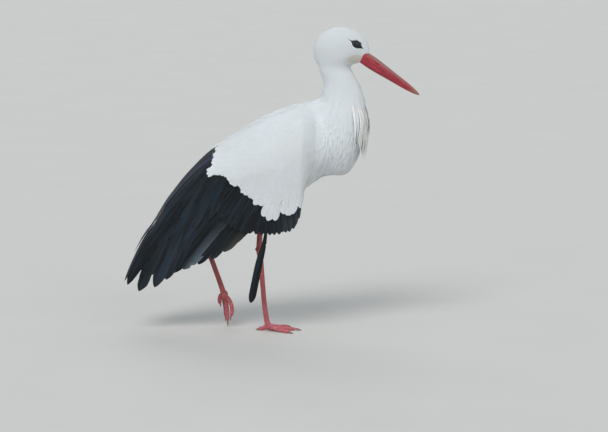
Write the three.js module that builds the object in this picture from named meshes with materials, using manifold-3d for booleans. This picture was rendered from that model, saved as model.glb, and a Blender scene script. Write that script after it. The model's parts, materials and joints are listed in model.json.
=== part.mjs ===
// A life-size white stork in mid-stride: it stands on its right foot, and the toes of its left
// foot are just leaving the ground. Millimetres. +X is towards the bill, +Y to the bird's own
// left and +Z up. The floor is z = 0, and the origin is on it, below the middle of the stork.
import * as THREE from "three";
import { mergeVertices } from "three/addons/utils/BufferGeometryUtils.js";
import Module from "manifold-3d";

const wasm = await Module();
wasm.setup();

// ---------------------------------------------------------------- driving dimensions
const gap = 0.4; // left between neighbouring solids
const billLength = 166;
const billDrop = THREE.MathUtils.degToRad(34); // the bill points this far below level
const billBase = new THREE.Vector3(243, 0, 699); // on the line where the two mandibles meet
const headCentre = new THREE.Vector3(181, 0, 719);
const headLength = 144;
const crownHeight = 62; // from the head's centre up
const napeDepth = 62; // from the head's centre down, at the back
const jawDepth = 36; // the same, below the face
const headHalfWidth = 33;
const eyeCentre = new THREE.Vector3(221, 15.5, 736);
const eyeRadius = 8;
const rumpEnd = -205; // the trunk runs from here ...
const breastEnd = 238; // ... to here along X
const vaneThickness = 2.2; // of each layer of black feathers
const coatThickness = 6; // of the white feathers on the shoulder and wing

// ---------------------------------------------------------------- finishes
function finish(colour, roughness) {
  return new THREE.MeshStandardMaterial({ color: colour, roughness, metalness: 0 });
}
const whiteFeather = finish(0xe9edf0, 0.85);
const blackFeather = finish(0x15181d, 0.55);
const redHorn = finish(0xb8322f, 0.45);
const redSkin = finish(0xb9474a, 0.6);
const claw = finish(0x8d6a60, 0.5);
const eyeBlack = finish(0x08080a, 0.08);

// ---------------------------------------------------------------- general helpers
const { clamp, lerp, smoothstep } = THREE.MathUtils;

/** A smooth function through [place, value] stations, level beyond the first and the last. */
function through(stations) {
  const last = stations.length - 1;
  const slopes = stations.map((_, i) => {
    const [xa, va] = stations[Math.max(i - 1, 0)];
    const [xb, vb] = stations[Math.min(i + 1, last)];
    return (vb - va) / (xb - xa);
  });
  return (x) => {
    if (x <= stations[0][0]) return stations[0][1];
    if (x >= stations[last][0]) return stations[last][1];
    const i = stations.findIndex(([start]) => x < start) - 1;
    const [xa, va] = stations[i];
    const [xb, vb] = stations[i + 1];
    const step = xb - xa;
    const t = (x - xa) / step;
    const ease = t * t * (3 - 2 * t);
    const rise = t * (1 - t) * step * ((1 - t) * slopes[i] - t * slopes[i + 1]);
    return va + (vb - va) * ease + rise;
  };
}

/** Moves every corner of a geometry to where place(corner) says. */
function warp(geometry, place) {
  const corners = geometry.getAttribute("position");
  const corner = new THREE.Vector3();
  for (let i = 0; i < corners.count; i++) {
    const moved = place(corner.fromBufferAttribute(corners, i));
    corners.setXYZ(i, moved.x, moved.y, moved.z);
  }
  return geometry;
}

/** A closed geometry as a manifold-3d solid with its faces pointing out. */
function solidOf(geometry) {
  const bare = new THREE.BufferGeometry();
  bare.setAttribute("position", geometry.getAttribute("position"));
  bare.setIndex(geometry.index);
  const merged = mergeVertices(bare, 1e-3);
  const triVerts = new Uint32Array(merged.index.array);
  const vertProperties = merged.getAttribute("position").array;
  const made = new wasm.Manifold(new wasm.Mesh({ numProp: 3, vertProperties, triVerts }));
  if (made.volume() > 0) return made;
  for (let i = 0; i < triVerts.length; i += 3) {
    [triVerts[i + 1], triVerts[i + 2]] = [triVerts[i + 2], triVerts[i + 1]];
  }
  return new wasm.Manifold(new wasm.Mesh({ numProp: 3, vertProperties, triVerts }));
}

function joined(solids) {
  return solids.reduce((all, next) => all.add(next));
}

/** The biggest of the pieces that a solid falls into. */
function largest(solid) {
  return solid.decompose().reduce((big, next) => (next.volume() > big.volume() ? next : big));
}

const stork = new THREE.Group();

/** Adds a solid to the stork as a named node, with a material of its own. */
function addNode(name, solid, material) {
  const { vertProperties, triVerts } = solid.getMesh();
  const geometry = new THREE.BufferGeometry();
  geometry.setAttribute("position", new THREE.BufferAttribute(vertProperties, 3));
  geometry.setIndex(new THREE.BufferAttribute(triVerts, 1));
  const mesh = new THREE.Mesh(geometry, material.clone());
  mesh.name = name;
  stork.add(mesh);
}

/** Cuts a solid in two by a plane with the gap between: [the part the normal points to, the rest]. */
function parted(solid, normal, point) {
  const offset = normal.dot(point);
  const front = solid.trimByPlane(normal.toArray(), offset + gap / 2);
  const back = solid.trimByPlane(normal.clone().negate().toArray(), -offset + gap / 2);
  return [front, back];
}

/**
 * A round limb along a path. radiusAt(t) gives [the radius in the path's own plane, the radius
 * along the lateral direction]. Its ends are rounded over the share `round` of its length.
 */
function limb(path, radiusAt, { lateral = new THREE.Vector3(0, 1, 0), rings, sides, round = 0.06 }) {
  return warp(new THREE.SphereGeometry(1, sides, rings), (p) => {
    const t = Math.acos(clamp(p.y, -1, 1)) / Math.PI;
    const ring = Math.hypot(p.x, p.z) || 1;
    const toEnd = clamp(Math.min(t, 1 - t) / round, 0, 1);
    const close = Math.abs(p.y) > 0.99999 ? 0 : Math.sqrt(toEnd * (2 - toEnd));
    const centre = path.getPoint(t);
    const along = path.getTangent(t);
    const side = lateral.clone().addScaledVector(along, -lateral.dot(along)).normalize();
    const front = along.clone().cross(side);
    const [deep, wide] = radiusAt(t);
    return centre
      .addScaledVector(front, (close * deep * p.x) / ring)
      .addScaledVector(side, (close * wide * p.z) / ring);
  });
}

const smoothPath = (points) => new THREE.CatmullRomCurve3(points.map((p) => new THREE.Vector3(...p)));

// ---------------------------------------------------------------- trunk, neck and head
// the line of the back along the middle, just under the feathers, as far as the wing tips
const backLine = through([
  [-380, 118], [-352, 184], [-326, 236], [-305, 264], [-287, 292], [-265, 328], [-247, 352], [-222, 384],
  [-193, 416], [-161, 447], [-141, 462], [-117, 475], [-86, 495], [-56, 514], [-25, 532], [12, 549],
  [51, 564], [77, 570], [109, 580], [150, 599],
]);
const trunkTop = through([
  [-205, 402], [-150, 452], [-100, 484], [-50, 515], [0, 541], [50, 559], [109, 571], [238, 536],
]);
const trunkBottom = through([
  [-205, 362], [-150, 350], [-100, 330], [-50, 319], [0, 321], [50, 340], [100, 371], [150, 401], [238, 438],
]);
const trunkHalfWidth = through([
  [-200, 34], [-150, 55], [-100, 77], [-50, 92], [0, 99], [50, 99], [100, 92], [150, 80],
  [200, 63], [238, 48],
]);

/** The egg of the body, without neck, wings, tail or legs. */
function trunk(swell) {
  return solidOf(
    warp(new THREE.SphereGeometry(1, 22, 14), (p) => {
      const ring = Math.hypot(p.x, p.z);
      const x = lerp(rumpEnd - swell, breastEnd + swell, (1 + p.y) / 2);
      const close = ring ** 0.6 / (ring || 1);
      const y = (trunkHalfWidth(x) + swell) * close * p.x;
      const centre = (trunkTop(x) + trunkBottom(x)) / 2;
      return new THREE.Vector3(x, y, centre + (trunkTop(x) - centre + swell) * close * p.z);
    }),
  );
}

const neckCentre = through([
  [400, 172], [480, 176], [530, 180], [570, 178.5], [600, 184.5], [620, 186.5], [638, 182.5], [665, 168.5],
  [700, 158],
]);
const neckHalfDepth = through([
  [400, 50], [480, 66], [530, 67], [570, 67], [600, 57.5], [620, 51.5], [638, 49], [665, 49.5], [700, 52],
]);
const neckHalfWidth = through([
  [400, 50], [480, 66], [530, 61], [570, 50], [600, 41], [620, 36], [638, 34], [665, 32], [700, 30],
]);

/** The neck's plumage, an upright column that starts inside the breast and ends inside the head. */
function neck(swell) {
  const [bottom, top] = [400, 712];
  return solidOf(
    warp(new THREE.SphereGeometry(1, 18, 12), (p) => {
      const ring = Math.hypot(p.x, p.z);
      const z = lerp(bottom, top, (1 + p.y) / 2);
      const close = ring ** 0.5 / (ring || 1);
      const x = neckCentre(z) + (neckHalfDepth(z) + swell) * close * p.x;
      return new THREE.Vector3(x, (neckHalfWidth(z) + swell) * close * p.z, z);
    }),
  );
}

/** The head without its bill: an egg, flatter below the face and narrower towards the bill. */
function head(swell) {
  return solidOf(
    warp(new THREE.SphereGeometry(1, 18, 13), (p) => {
      const forward = p.y;
      const narrow = lerp(1, 0.62, smoothstep(forward, 0.1, 1));
      const below = lerp(napeDepth, jawDepth, smoothstep(forward, -0.35, 0.5));
      const jowl = p.z < 0 ? Math.hypot(p.x, p.z) ** (-0.45 * smoothstep(forward, 0, 0.6)) : 1;
      const height = (p.z > 0 ? crownHeight : below) * jowl + swell;
      return new THREE.Vector3(
        headCentre.x + (headLength / 2 + swell) * forward,
        (headHalfWidth + swell) * narrow * p.x,
        headCentre.z + height * p.z,
      );
    }),
  );
}

// ---------------------------------------------------------------- bill and eyes
const billDepth = through([
  [-22, 15], [0, 15.6], [24, 15.8], [52, 14], [86, 11.4], [115, 9.4], [138, 7.2], [156, 4], [166, 1],
]);
const billHalfWidth = through([
  [-22, 13], [0, 12.8], [24, 11.6], [52, 9.6], [86, 7.6], [115, 6.2], [138, 4.8], [156, 3], [166, 1],
]);
const billAxis = new THREE.Vector3(Math.cos(billDrop), 0, -Math.sin(billDrop));
const billUp = new THREE.Vector3(Math.sin(billDrop), 0, Math.cos(billDrop));

/** Both mandibles in one, a long flat-sided wedge with its root inside the head. */
function bill() {
  const rootLength = 22;
  return solidOf(
    warp(new THREE.SphereGeometry(1, 10, 11), (p) => {
      const ring = Math.hypot(p.x, p.z) || 1;
      const along = lerp(-rootLength, billLength, Math.acos(clamp(-p.y, -1, 1)) / Math.PI);
      const close = Math.abs(p.y) > 0.99999 ? 0 : 1;
      const across = (close * p.x) / ring;
      const over = (close * p.z) / ring;
      const up = Math.sign(over) * Math.abs(over) ** 0.8 * billDepth(along);
      return billBase
        .clone()
        .addScaledVector(billAxis, along)
        .addScaledVector(billUp, up)
        .add(new THREE.Vector3(0, billHalfWidth(along) * across, 0));
    }),
  );
}

function eye(side, swell) {
  const ball = new THREE.SphereGeometry(eyeRadius + swell, 8, 6);
  return solidOf(ball.translate(eyeCentre.x, side * eyeCentre.y, eyeCentre.z));
}

function addHeadAndTrunk() {
  const plain = joined([trunk(0), neck(0), head(0)]);
  const whole = [-1, 1].reduce((body, side) => body.subtract(eye(side, gap)), plain);
  const [headPart, rest] = parted(
    whole, new THREE.Vector3(-0.3, 0, 1).normalize(), new THREE.Vector3(165, 0, 663),
  );
  const [neckPart, belowNeck] = parted(
    rest, new THREE.Vector3(0.2, 0, 1).normalize(), new THREE.Vector3(185, 0, 583),
  );
  const [breastPart, trunkPart] = parted(
    belowNeck, new THREE.Vector3(0.8, 0, 0.6), new THREE.Vector3(155, 0, 510),
  );
  addNode("head", headPart, whiteFeather);
  addNode("neck_upper", neckPart, whiteFeather);
  addNode("neck_lower", breastPart, whiteFeather);
  addNode("trunk", trunkPart, whiteFeather);
  const [upper, lower] = parted(bill().subtract(head(gap)).subtract(neck(gap)), billUp, billBase);
  addNode("bill_upper", upper, redHorn);
  addNode("bill_lower", lower, redHorn);
  addNode("eye_right", eye(-1, 0), eyeBlack);
  addNode("eye_left", eye(1, 0), eyeBlack);
}

// ---------------------------------------------------------------- feathers
/**
 * Where the edge of a row of feathers runs. rows holds [root, tip] of every feather as [x, z], with
 * the row's own first and last sides at its ends. Returns [root, edge point] pairs that go round
 * each tip, with a notch `depth` deep between neighbours. A point is sharp with `fullness` 0.
 */
function featheredEdge(rows, depth, fullness) {
  const points = rows.map((pair) => pair.map((p) => new THREE.Vector2(...p)));
  const [first, ...rest] = points;
  const last = rest.pop();
  const pulled = ([root, tip], distance) => {
    return [root, tip.clone().addScaledVector(root.clone().sub(tip).normalize(), distance)];
  };
  const between = (one, two) => one.map((point, i) => point.clone().lerp(two[i], 0.5));
  const notches = rest.slice(1).map((feather, i) => pulled(between(rest[i], feather), depth));
  const sides = [first, ...notches, last];
  const pairs = [first];
  rest.forEach((feather, i) => {
    const round = -depth * 0.5 * fullness;
    pairs.push(pulled(between(sides[i], feather), round));
    pairs.push(feather);
    pairs.push(pulled(between(feather, sides[i + 1]), round));
    pairs.push(sides[i + 1]);
  });
  return pairs;
}

/** A sheet of feathers, ruled between the pairs and laid on by place(root, edge, share, out). */
function ruledSheet(pairs, steps, thick, swell, place) {
  const last = pairs.length - 1;
  const outward = ([root, edge], [nextRoot]) => {
    const along = edge.clone().sub(root).normalize();
    const across = new THREE.Vector2(-along.y, along.x);
    const away = across.dot(nextRoot.clone().sub(root)) > 0 ? -swell : swell;
    return [root.clone().addScaledVector(across, away), edge.clone().addScaledVector(across, away)];
  };
  const grown = pairs.slice();
  grown[0] = outward(pairs[0], pairs[1]);
  grown[last] = outward(pairs[last], pairs[last - 1]);
  return solidOf(
    warp(new THREE.BoxGeometry(1, 1, 1, last, 1, steps), (p) => {
      const [root, edge] = grown[Math.round((p.x + 0.5) * last)];
      const beyond = swell / root.distanceTo(edge);
      return place(root, edge, lerp(-beyond, 1 + beyond, p.z + 0.5), thick / 2 + p.y * (thick + 2 * swell));
    }),
  );
}

/** The lance-shaped feathers that hang from the front of the lower neck. */
function addRuff() {
  const [top, loose, reach] = [598, 500, 60]; // they hang free of the neck below `loose`
  const tips = [478, 452, 426, 456, 430, 448, 476];
  const rows = tips.map((tip, i) => {
    const angle = lerp(-reach, reach, i / (tips.length - 1));
    return [[angle, top], [angle, tip]];
  });
  const pairs = featheredEdge([[[-70, top], [-70, 505]], ...rows, [[70, top], [70, 505]]], 34, 0.3);
  const bib = ruledSheet(pairs, 3, 4.6, 0, (root, edge, share, out) => {
    const turn = THREE.MathUtils.degToRad(lerp(root.x, edge.x, share));
    const z = lerp(root.y, edge.y, share);
    const girth = Math.max(z, loose);
    const off = lerp(0.6, 1.6, share) + out;
    const x = neckCentre(girth) + (neckHalfDepth(girth) + off) * Math.cos(turn);
    return new THREE.Vector3(x, (neckHalfWidth(girth) + off) * Math.sin(turn), z);
  });
  addNode("neck_ruff", largest(bib.subtract(neck(gap)).subtract(trunk(gap))), whiteFeather);
}

// ---------------------------------------------------------------- wings
const wingDrop = through([
  [-380, 26], [-300, 40], [-200, 62], [-150, 72], [-100, 84], [-50, 102],
  [0, 117], [50, 118], [100, 110], [150, 104],
]);
const wingHalfWidth = through([
  [-380, 30], [-350, 36], [-300, 46], [-250, 56], [-200, 67], [-150, 79], [-100, 90], [-50, 99],
  [0, 105], [50, 105], [100, 97], [150, 84],
]);
const wingTuck = 0.1; // how fast a wing's lower edge draws in towards the legs
const shoulder = [70, 130]; // along this stretch the layers come down on the breast, to the next value
const shoulderLayer = 0.4;

/** How far down the wing's arch a height is: 0 on the crest, 1 where the wing is widest. */
function shareAt(x, z) {
  return (backLine(x) - z) / wingDrop(x);
}

/** The point of a folded wing at x and a share of the way down, `out` mm from its inner surface. */
function onWing(side, x, share, out) {
  const down = clamp(share, 0, 1);
  const sine = Math.sqrt(down * (2 - down));
  const tuck = 1 - wingTuck * Math.max(share - 1, 0);
  const normal = new THREE.Vector2(sine / wingHalfWidth(x), (1 - down) / wingDrop(x)).normalize();
  const y = wingHalfWidth(x) * sine * tuck + normal.x * out + gap / 2;
  return new THREE.Vector3(x, side * y, backLine(x) - wingDrop(x) * share + normal.y * out);
}

/** A layer of feathers on a wing. */
function wingLayer(side, { rows, depth, fullness = 0.5, steps, layer, thick = vaneThickness }, swell) {
  const pairs = featheredEdge(rows, depth, fullness);
  return ruledSheet(pairs, steps, thick, swell, (root, edge, t, out) => {
    const x = lerp(root.x, edge.x, t);
    // shares go by their square root, which is near enough the way round the arch
    const [from, to] = [root, edge].map((at) => Math.sqrt(Math.max(shareAt(at.x, at.y), 0)));
    const settled = lerp(layer, shoulderLayer, smoothstep(x, ...shoulder));
    return onWing(side, x, lerp(from, to, t) ** 2, settled + out);
  });
}

// the layers of a wing from the inside out, mm from the wing's inner surface
const firstLayer = 0.8;
const layerStep = vaneThickness + 0.9;
const secondLayer = firstLayer + layerStep;
const thirdLayer = secondLayer + layerStep;
const whiteLayer = thirdLayer + layerStep;
const crest = (x) => [x, backLine(x)];

// Every feather is [root, tip], and a point is [x, z] in side view.
const wingLayers = {
  scapulars: {
    rows: [
      [crest(124), crest(-128)],
      [[132, 556], [-143, 458]],
      [[136, 524], [-146, 440]],
      [[134, 500], [-160, 410]],
      [[124, 474], [-128, 421]],
    ],
    depth: 16, fullness: 0, steps: 7, layer: whiteLayer, thick: coatThickness, material: whiteFeather,
  },
  wing_coverts: {
    rows: [
      [[127, 484], [115, 390]],
      [[112, 483], [100, 356]],
      [[92, 480], [71, 337]],
      [[66, 474], [38, 315]],
      [[36, 468], [0, 305]],
      [[8, 462], [-32, 338]],
      [[-22, 455], [-66, 366]],
      [[-58, 447], [-102, 392]],
      [[-118, 432], [-132, 412]],
    ],
    depth: 16, fullness: 0.8, steps: 2, layer: whiteLayer, thick: coatThickness, material: whiteFeather,
  },
  tertials: {
    rows: [
      [crest(-84), crest(-352)],
      [[-88, 478], [-378, 146]],
      [[-96, 462], [-366, 114]],
      [[-104, 448], [-341, 112]],
      [[-96, 436], [-312, 150]],
    ],
    depth: 22, fullness: 0.5, steps: 6, layer: thirdLayer, material: blackFeather,
  },
  secondaries: {
    rows: [
      [[-92, 438], [-316, 178]],
      [[-88, 424], [-314, 132]],
      [[-72, 408], [-292, 127]],
      [[-58, 388], [-264, 141]],
      [[-46, 368], [-226, 165]],
      [[-34, 352], [-196, 188]],
    ],
    depth: 18, steps: 4, layer: secondLayer, material: blackFeather,
  },
  primaries: {
    rows: [
      [[-52, 372], [-204, 196]],
      [[-44, 362], [-188, 172]],
      [[-28, 344], [-150, 190]],
      [[-8, 330], [-106, 218]],
      [[8, 322], [-66, 262]],
    ],
    depth: 14, steps: 4, layer: firstLayer, material: blackFeather,
  },
  primary_coverts: {
    rows: [
      [[-66, 374], [-104, 262]],
      [[-54, 372], [-72, 258]],
      [[-24, 362], [-30, 255]],
      [[6, 354], [8, 260]],
      [[34, 354], [38, 262]],
      [[60, 358], [60, 274]],
      [[80, 372], [76, 320]],
    ],
    depth: 12, steps: 2, layer: thirdLayer, material: blackFeather,
  },
};

function addWing(side, label) {
  let taken = trunk(gap).add(neck(gap));
  for (const [name, layer] of Object.entries(wingLayers)) {
    addNode(`${name}_${label}`, largest(wingLayer(side, layer, 0).subtract(taken)), layer.material);
    taken = taken.add(wingLayer(side, layer, gap));
  }
}

/** A flight feather that has slipped out of the right wing and hangs in front of the leg. */
function addLooseFeather() {
  const quill = smoothPath([[-7, -87, 286], [-14, -86, 240], [-28, -84, 186], [-49, -82, 84]]);
  const [rootWidth, tipWidth] = [9, 23];
  const vane = warp(new THREE.BoxGeometry(1, 1, 1, 2, 1, 8), (p) => {
    const t = p.z + 0.5;
    const at = quill.getPoint(t);
    const tangent = quill.getTangent(t);
    const round = Math.sqrt(Math.min(1, (1 - t) / 0.07 + 0.12));
    const half = (lerp(rootWidth, tipWidth, smoothstep(t, 0.1, 0.75)) / 2) * round;
    const cupped = 1.5 * Math.abs(p.x);
    return new THREE.Vector3(
      at.x - tangent.z * 2 * p.x * half,
      at.y + (1.8 - 0.6 * t) * p.y + cupped,
      at.z + tangent.x * 2 * p.x * half,
    );
  });
  addNode("loose_feather", solidOf(vane), blackFeather);
}

/** The short tail, a narrow fan folded away under the wings. */
function addTail() {
  const root = new THREE.Vector2(-176, 384);
  const tip = new THREE.Vector2(-312, 176);
  const [rootHalf, tipHalf, arch] = [22, 31, 7];
  const down = tip.clone().sub(root).normalize();
  const fan = warp(new THREE.BoxGeometry(1, 1, 1, 4, 1, 4), (p) => {
    const t = p.z + 0.5;
    const fanned = 2 * p.x;
    const y = lerp(rootHalf, tipHalf, t) * fanned;
    const shorter = 10 * fanned * fanned * t;
    const at = root.clone().lerp(tip, t).addScaledVector(down, -shorter);
    const thick = lerp(11, 3, t) * p.y - arch * fanned * fanned;
    return new THREE.Vector3(at.x - down.y * thick, y, at.y + down.x * thick);
  });
  addNode("tail", largest(solidOf(fan).subtract(trunk(gap))), whiteFeather);
}

// ---------------------------------------------------------------- legs and feet
/** A maker of limbs through the points. girth: [share of the length, radius in its plane, across it]. */
function limbMaker(points, girth, options) {
  const path = smoothPath(points);
  const deep = through(girth.map(([t, radius]) => [t, radius]));
  const wide = through(girth.map(([t, , radius]) => [t, radius]));
  return (swell) => solidOf(limb(path, (t) => [deep(t) + swell, wide(t) + swell], options));
}

const legs = {
  right: {
    thigh: [[34, -50, 372], [10, -42, 330], [-14, -28, 286]],
    tibia: [[-6, -33, 305], [-24, -21, 262], [-28, -15.5, 224], [-27, -15, 208]],
    tarsus: [
      [-30, -15, 220], [-27, -15, 205], [-21, -15, 140], [-15, -15, 66], [-9, -15, 26], [-5, -15, 8],
    ],
    toes: {
      middle: [[-6, -15, 11], [20, -15.5, 6.8], [46, -16, 4.2], [70, -16, 3.4]],
      inner: [[-7, -13, 11], [14, 2, 6.8], [32, 15, 4.2], [47, 25, 3.4]],
      outer: [[-7, -17, 11], [16, -33, 6.8], [36, -47, 4.2], [52, -58, 3.4]],
      hind: [[-9, -15, 11], [-17, -13, 6.5], [-25, -12, 4], [-31, -11, 3.4]],
    },
  },
  left: {
    thigh: [[-6, 52, 372], [-40, 48, 346], [-92, 43, 318]],
    tibia: [[-76, 44, 328], [-120, 42, 308], [-168, 40, 290], [-192, 40, 281]],
    tarsus: [
      [-206, 40, 290], [-192, 40, 277], [-168, 40, 218], [-140, 40, 142], [-124, 40, 95], [-120, 40, 80],
    ],
    toes: {
      middle: [[-121, 40, 88], [-115, 39, 62], [-112, 38, 34], [-111, 37, 11]],
      inner: [[-119, 36, 86], [-104, 28, 66], [-99, 24, 46], [-103, 22, 26]],
      outer: [[-122, 44, 87], [-120, 52, 62], [-117, 58, 38], [-117, 61, 18]],
      hind: [[-125, 40, 88], [-131, 41, 76], [-132, 42, 66], [-130, 42, 58]],
    },
  },
};
const clawLengths = { middle: 12, inner: 10, outer: 10, hind: 8 };
const clawDroop = 3.5;
const clawTipHeight = -0.6; // just under the floor, so that the claw rests on a small flat
const thighGirth = [[0, 34, 27], [0.5, 25, 21], [1, 12, 12]];
const tibiaGirth = [[0, 8, 8], [0.6, 6.6, 6.4], [1, 9, 8]];
const tarsusGirth = [
  [0, 10, 8.4], [0.09, 10.5, 9], [0.2, 7.4, 6.6], [0.5, 6, 5.4], [0.85, 6.8, 6.4], [1, 8, 8],
];
const toeGirth = [[0, 6.4, 6], [0.4, 5, 4.8], [0.75, 4.8, 4.6], [1, 4, 4]];
const clawGirth = [[0, 3, 3.4], [0.5, 2.4, 3], [1, 1, 1.4]];
const toeLateral = new THREE.Vector3(0.1, 1, 0.05);

/** The part of a solid above the floor. */
function aboveFloor(solid) {
  return solid.trimByPlane([0, 0, 1], 0);
}

function addLeg(label) {
  const { thigh, tibia, tarsus, toes } = legs[label];
  const makeTibia = limbMaker(tibia, tibiaGirth, { sides: 8, rings: 6 });
  const makeTarsus = limbMaker(tarsus, tarsusGirth, { sides: 8, rings: 11 });
  const makeThigh = limbMaker(thigh, thighGirth, { sides: 10, rings: 5, round: 0.16 });
  const [body, shank] = [trunk(gap), makeTarsus(gap)];
  const bareLeg = makeTibia(gap).add(shank);
  addNode(`thigh_${label}`, largest(makeThigh(0).subtract(body).subtract(bareLeg)), whiteFeather);
  addNode(`tibia_${label}`, largest(makeTibia(0).subtract(shank).subtract(body)), redSkin);
  addNode(`tarsus_${label}`, aboveFloor(makeTarsus(0)), redSkin);
  let taken = shank;
  for (const [name, points] of Object.entries(toes)) {
    const makeToe = limbMaker(points, toeGirth, { sides: 6, rings: 6, lateral: toeLateral });
    addNode(`toe_${name}_${label}`, largest(aboveFloor(makeToe(0).subtract(taken))), redSkin);
    taken = taken.add(makeToe(gap));
    const [before, end] = points.slice(-2).map((p) => new THREE.Vector3(...p));
    const tip = end.clone().addScaledVector(end.clone().sub(before).normalize(), clawLengths[name]);
    tip.z = Math.max(tip.z - clawDroop, clawTipHeight);
    const path = [end.clone().lerp(before, 0.1), end, tip].map((v) => v.toArray());
    const makeClaw = limbMaker(path, clawGirth, { sides: 5, rings: 3, round: 0.2 });
    addNode(`claw_${name}_${label}`, largest(aboveFloor(makeClaw(0).subtract(makeToe(gap)))), claw);
  }
}

addHeadAndTrunk();
addRuff();
addTail();
for (const [side, label] of [[-1, "right"], [1, "left"]]) {
  addWing(side, label);
  addLeg(label);
}
addLooseFeather();
stork.updateMatrixWorld(true);
const extent = new THREE.Box3().setFromObject(stork);
stork.position.x -= (extent.min.x + extent.max.x) / 2;
stork.position.y -= (extent.min.y + extent.max.y) / 2;
stork.updateMatrixWorld(true);

export default stork;
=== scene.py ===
# A life-size white stork in mid-stride. One skin lies under feathers that are all solid vanes.
# The bill, eyes and claws are pieces of their own. Everything is in metres, +X towards the bill.
import json
import math
import bpy
import numpy as np
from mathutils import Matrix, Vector
from mathutils.bvhtree import BVHTree
from mathutils.kdtree import KDTree

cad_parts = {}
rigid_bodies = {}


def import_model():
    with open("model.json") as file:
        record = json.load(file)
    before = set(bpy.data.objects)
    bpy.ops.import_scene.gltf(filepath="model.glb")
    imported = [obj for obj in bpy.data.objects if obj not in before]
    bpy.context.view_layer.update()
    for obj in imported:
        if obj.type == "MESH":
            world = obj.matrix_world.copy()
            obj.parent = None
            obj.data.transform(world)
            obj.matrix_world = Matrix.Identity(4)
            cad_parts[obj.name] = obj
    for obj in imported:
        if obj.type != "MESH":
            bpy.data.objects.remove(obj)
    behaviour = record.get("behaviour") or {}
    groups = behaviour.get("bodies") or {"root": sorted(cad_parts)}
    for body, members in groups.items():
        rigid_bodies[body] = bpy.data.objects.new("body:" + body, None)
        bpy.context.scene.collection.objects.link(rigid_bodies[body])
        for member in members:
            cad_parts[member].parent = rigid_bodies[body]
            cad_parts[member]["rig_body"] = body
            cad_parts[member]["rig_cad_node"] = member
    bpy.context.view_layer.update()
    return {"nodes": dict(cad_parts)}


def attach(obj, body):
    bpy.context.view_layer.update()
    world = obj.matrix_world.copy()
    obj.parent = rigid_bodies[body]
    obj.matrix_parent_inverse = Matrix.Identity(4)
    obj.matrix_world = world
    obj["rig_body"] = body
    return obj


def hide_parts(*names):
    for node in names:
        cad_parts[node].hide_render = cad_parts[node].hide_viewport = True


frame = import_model()
mm = 0.001
middle = np.array([-1.5, 0, 0])  # the CAD model is centred on its box, so its places move by this


# small tools
def through(stations):
    # a smooth curve through (place, value) stations, level beyond both ends
    places, values = np.array(stations, float).T
    last = len(places) - 1
    before = np.maximum(np.arange(last + 1) - 1, 0)
    after = np.minimum(np.arange(last + 1) + 1, last)
    slopes = (values[after] - values[before]) / (places[after] - places[before])

    def at(x):
        i = np.clip(np.searchsorted(places, x, side="right") - 1, 0, last - 1)
        step = places[i + 1] - places[i]
        t = np.clip((x - places[i]) / step, 0, 1)
        rise = t * (1 - t) * step * ((1 - t) * slopes[i] - t * slopes[i + 1])
        return values[i] + (values[i + 1] - values[i]) * t * t * (3 - 2 * t) + rise

    return at


def smoothstep(x, low, high):
    t = np.clip((x - low) / (high - low), 0, 1)
    return t * t * (3 - 2 * t)


def partWay(one, two, share):
    return one + (two - one) * share


def unit(vectors):
    lengths = np.linalg.norm(vectors, axis=-1, keepdims=True)
    return vectors / np.maximum(lengths, 1e-12)


def dot(a, b):
    return np.sum(a * b, axis=-1, keepdims=True)


def only(*objects):
    bpy.ops.object.select_all(action="DESELECT")
    for each in objects:
        each.select_set(True)
    bpy.context.view_layer.objects.active = objects[0]


def inEditMode(piece, *steps):
    # runs mesh operators on the whole piece
    only(piece)
    bpy.ops.object.mode_set(mode="EDIT")
    bpy.ops.mesh.select_all(action="SELECT")
    for step in steps:
        step()
    bpy.ops.object.mode_set(mode="OBJECT")


def modified(piece, kind, **settings):
    # adds a modifier and applies it
    only(piece)
    bpy.ops.object.modifier_add(type=kind)
    modifier = piece.modifiers[-1]
    for name, value in settings.items():
        setattr(modifier, name, value)
    bpy.ops.object.modifier_apply(modifier=modifier.name)


def cornersOf(piece, what="co"):
    found = np.empty(len(piece.data.vertices) * 3)
    piece.data.vertices.foreach_get(what, found)
    return found.reshape(-1, 3)


def moveCorners(piece, corners):
    piece.data.vertices.foreach_set("co", corners.ravel())
    piece.data.update()


def copyOf(nodes, name):
    # one merged copy of some CAD nodes, which themselves stay as they are
    only(*[frame["nodes"][node] for node in nodes])
    bpy.ops.object.duplicate()
    if len(nodes) > 1:
        bpy.ops.object.join()
    piece = bpy.context.view_layer.objects.active
    piece.name = name
    piece.parent = None
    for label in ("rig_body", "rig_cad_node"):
        del piece[label]
    inEditMode(piece, lambda: bpy.ops.mesh.remove_doubles(threshold=1e-6))
    return piece


def shapedGrid(name, around, along, place):
    # a grid bent by place(u, v), both from 0 to 1, and closed where its sides meet
    bpy.ops.object.select_all(action="DESELECT")
    bpy.ops.mesh.primitive_grid_add(x_subdivisions=around, y_subdivisions=along, size=2)
    piece = bpy.context.view_layer.objects.active
    piece.name = name
    flat = cornersOf(piece)
    moveCorners(piece, place((flat[:, 0] + 1) / 2, (flat[:, 1] + 1) / 2))
    inEditMode(
        piece,
        lambda: bpy.ops.mesh.remove_doubles(threshold=2e-5),
        lambda: bpy.ops.mesh.normals_make_consistent(inside=False),
    )
    return piece


def finished(piece, finish, slot, nodes, angle=40):
    # smooth shading and material, and the CAD nodes that the piece stands for are hidden; slot is not
    # used
    only(piece)
    bpy.ops.object.shade_smooth_by_angle(angle=math.radians(angle))
    piece.data.materials.clear()
    piece.data.materials.append(finish.material)
    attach(piece, "root")
    if nodes:
        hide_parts(*nodes)


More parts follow.
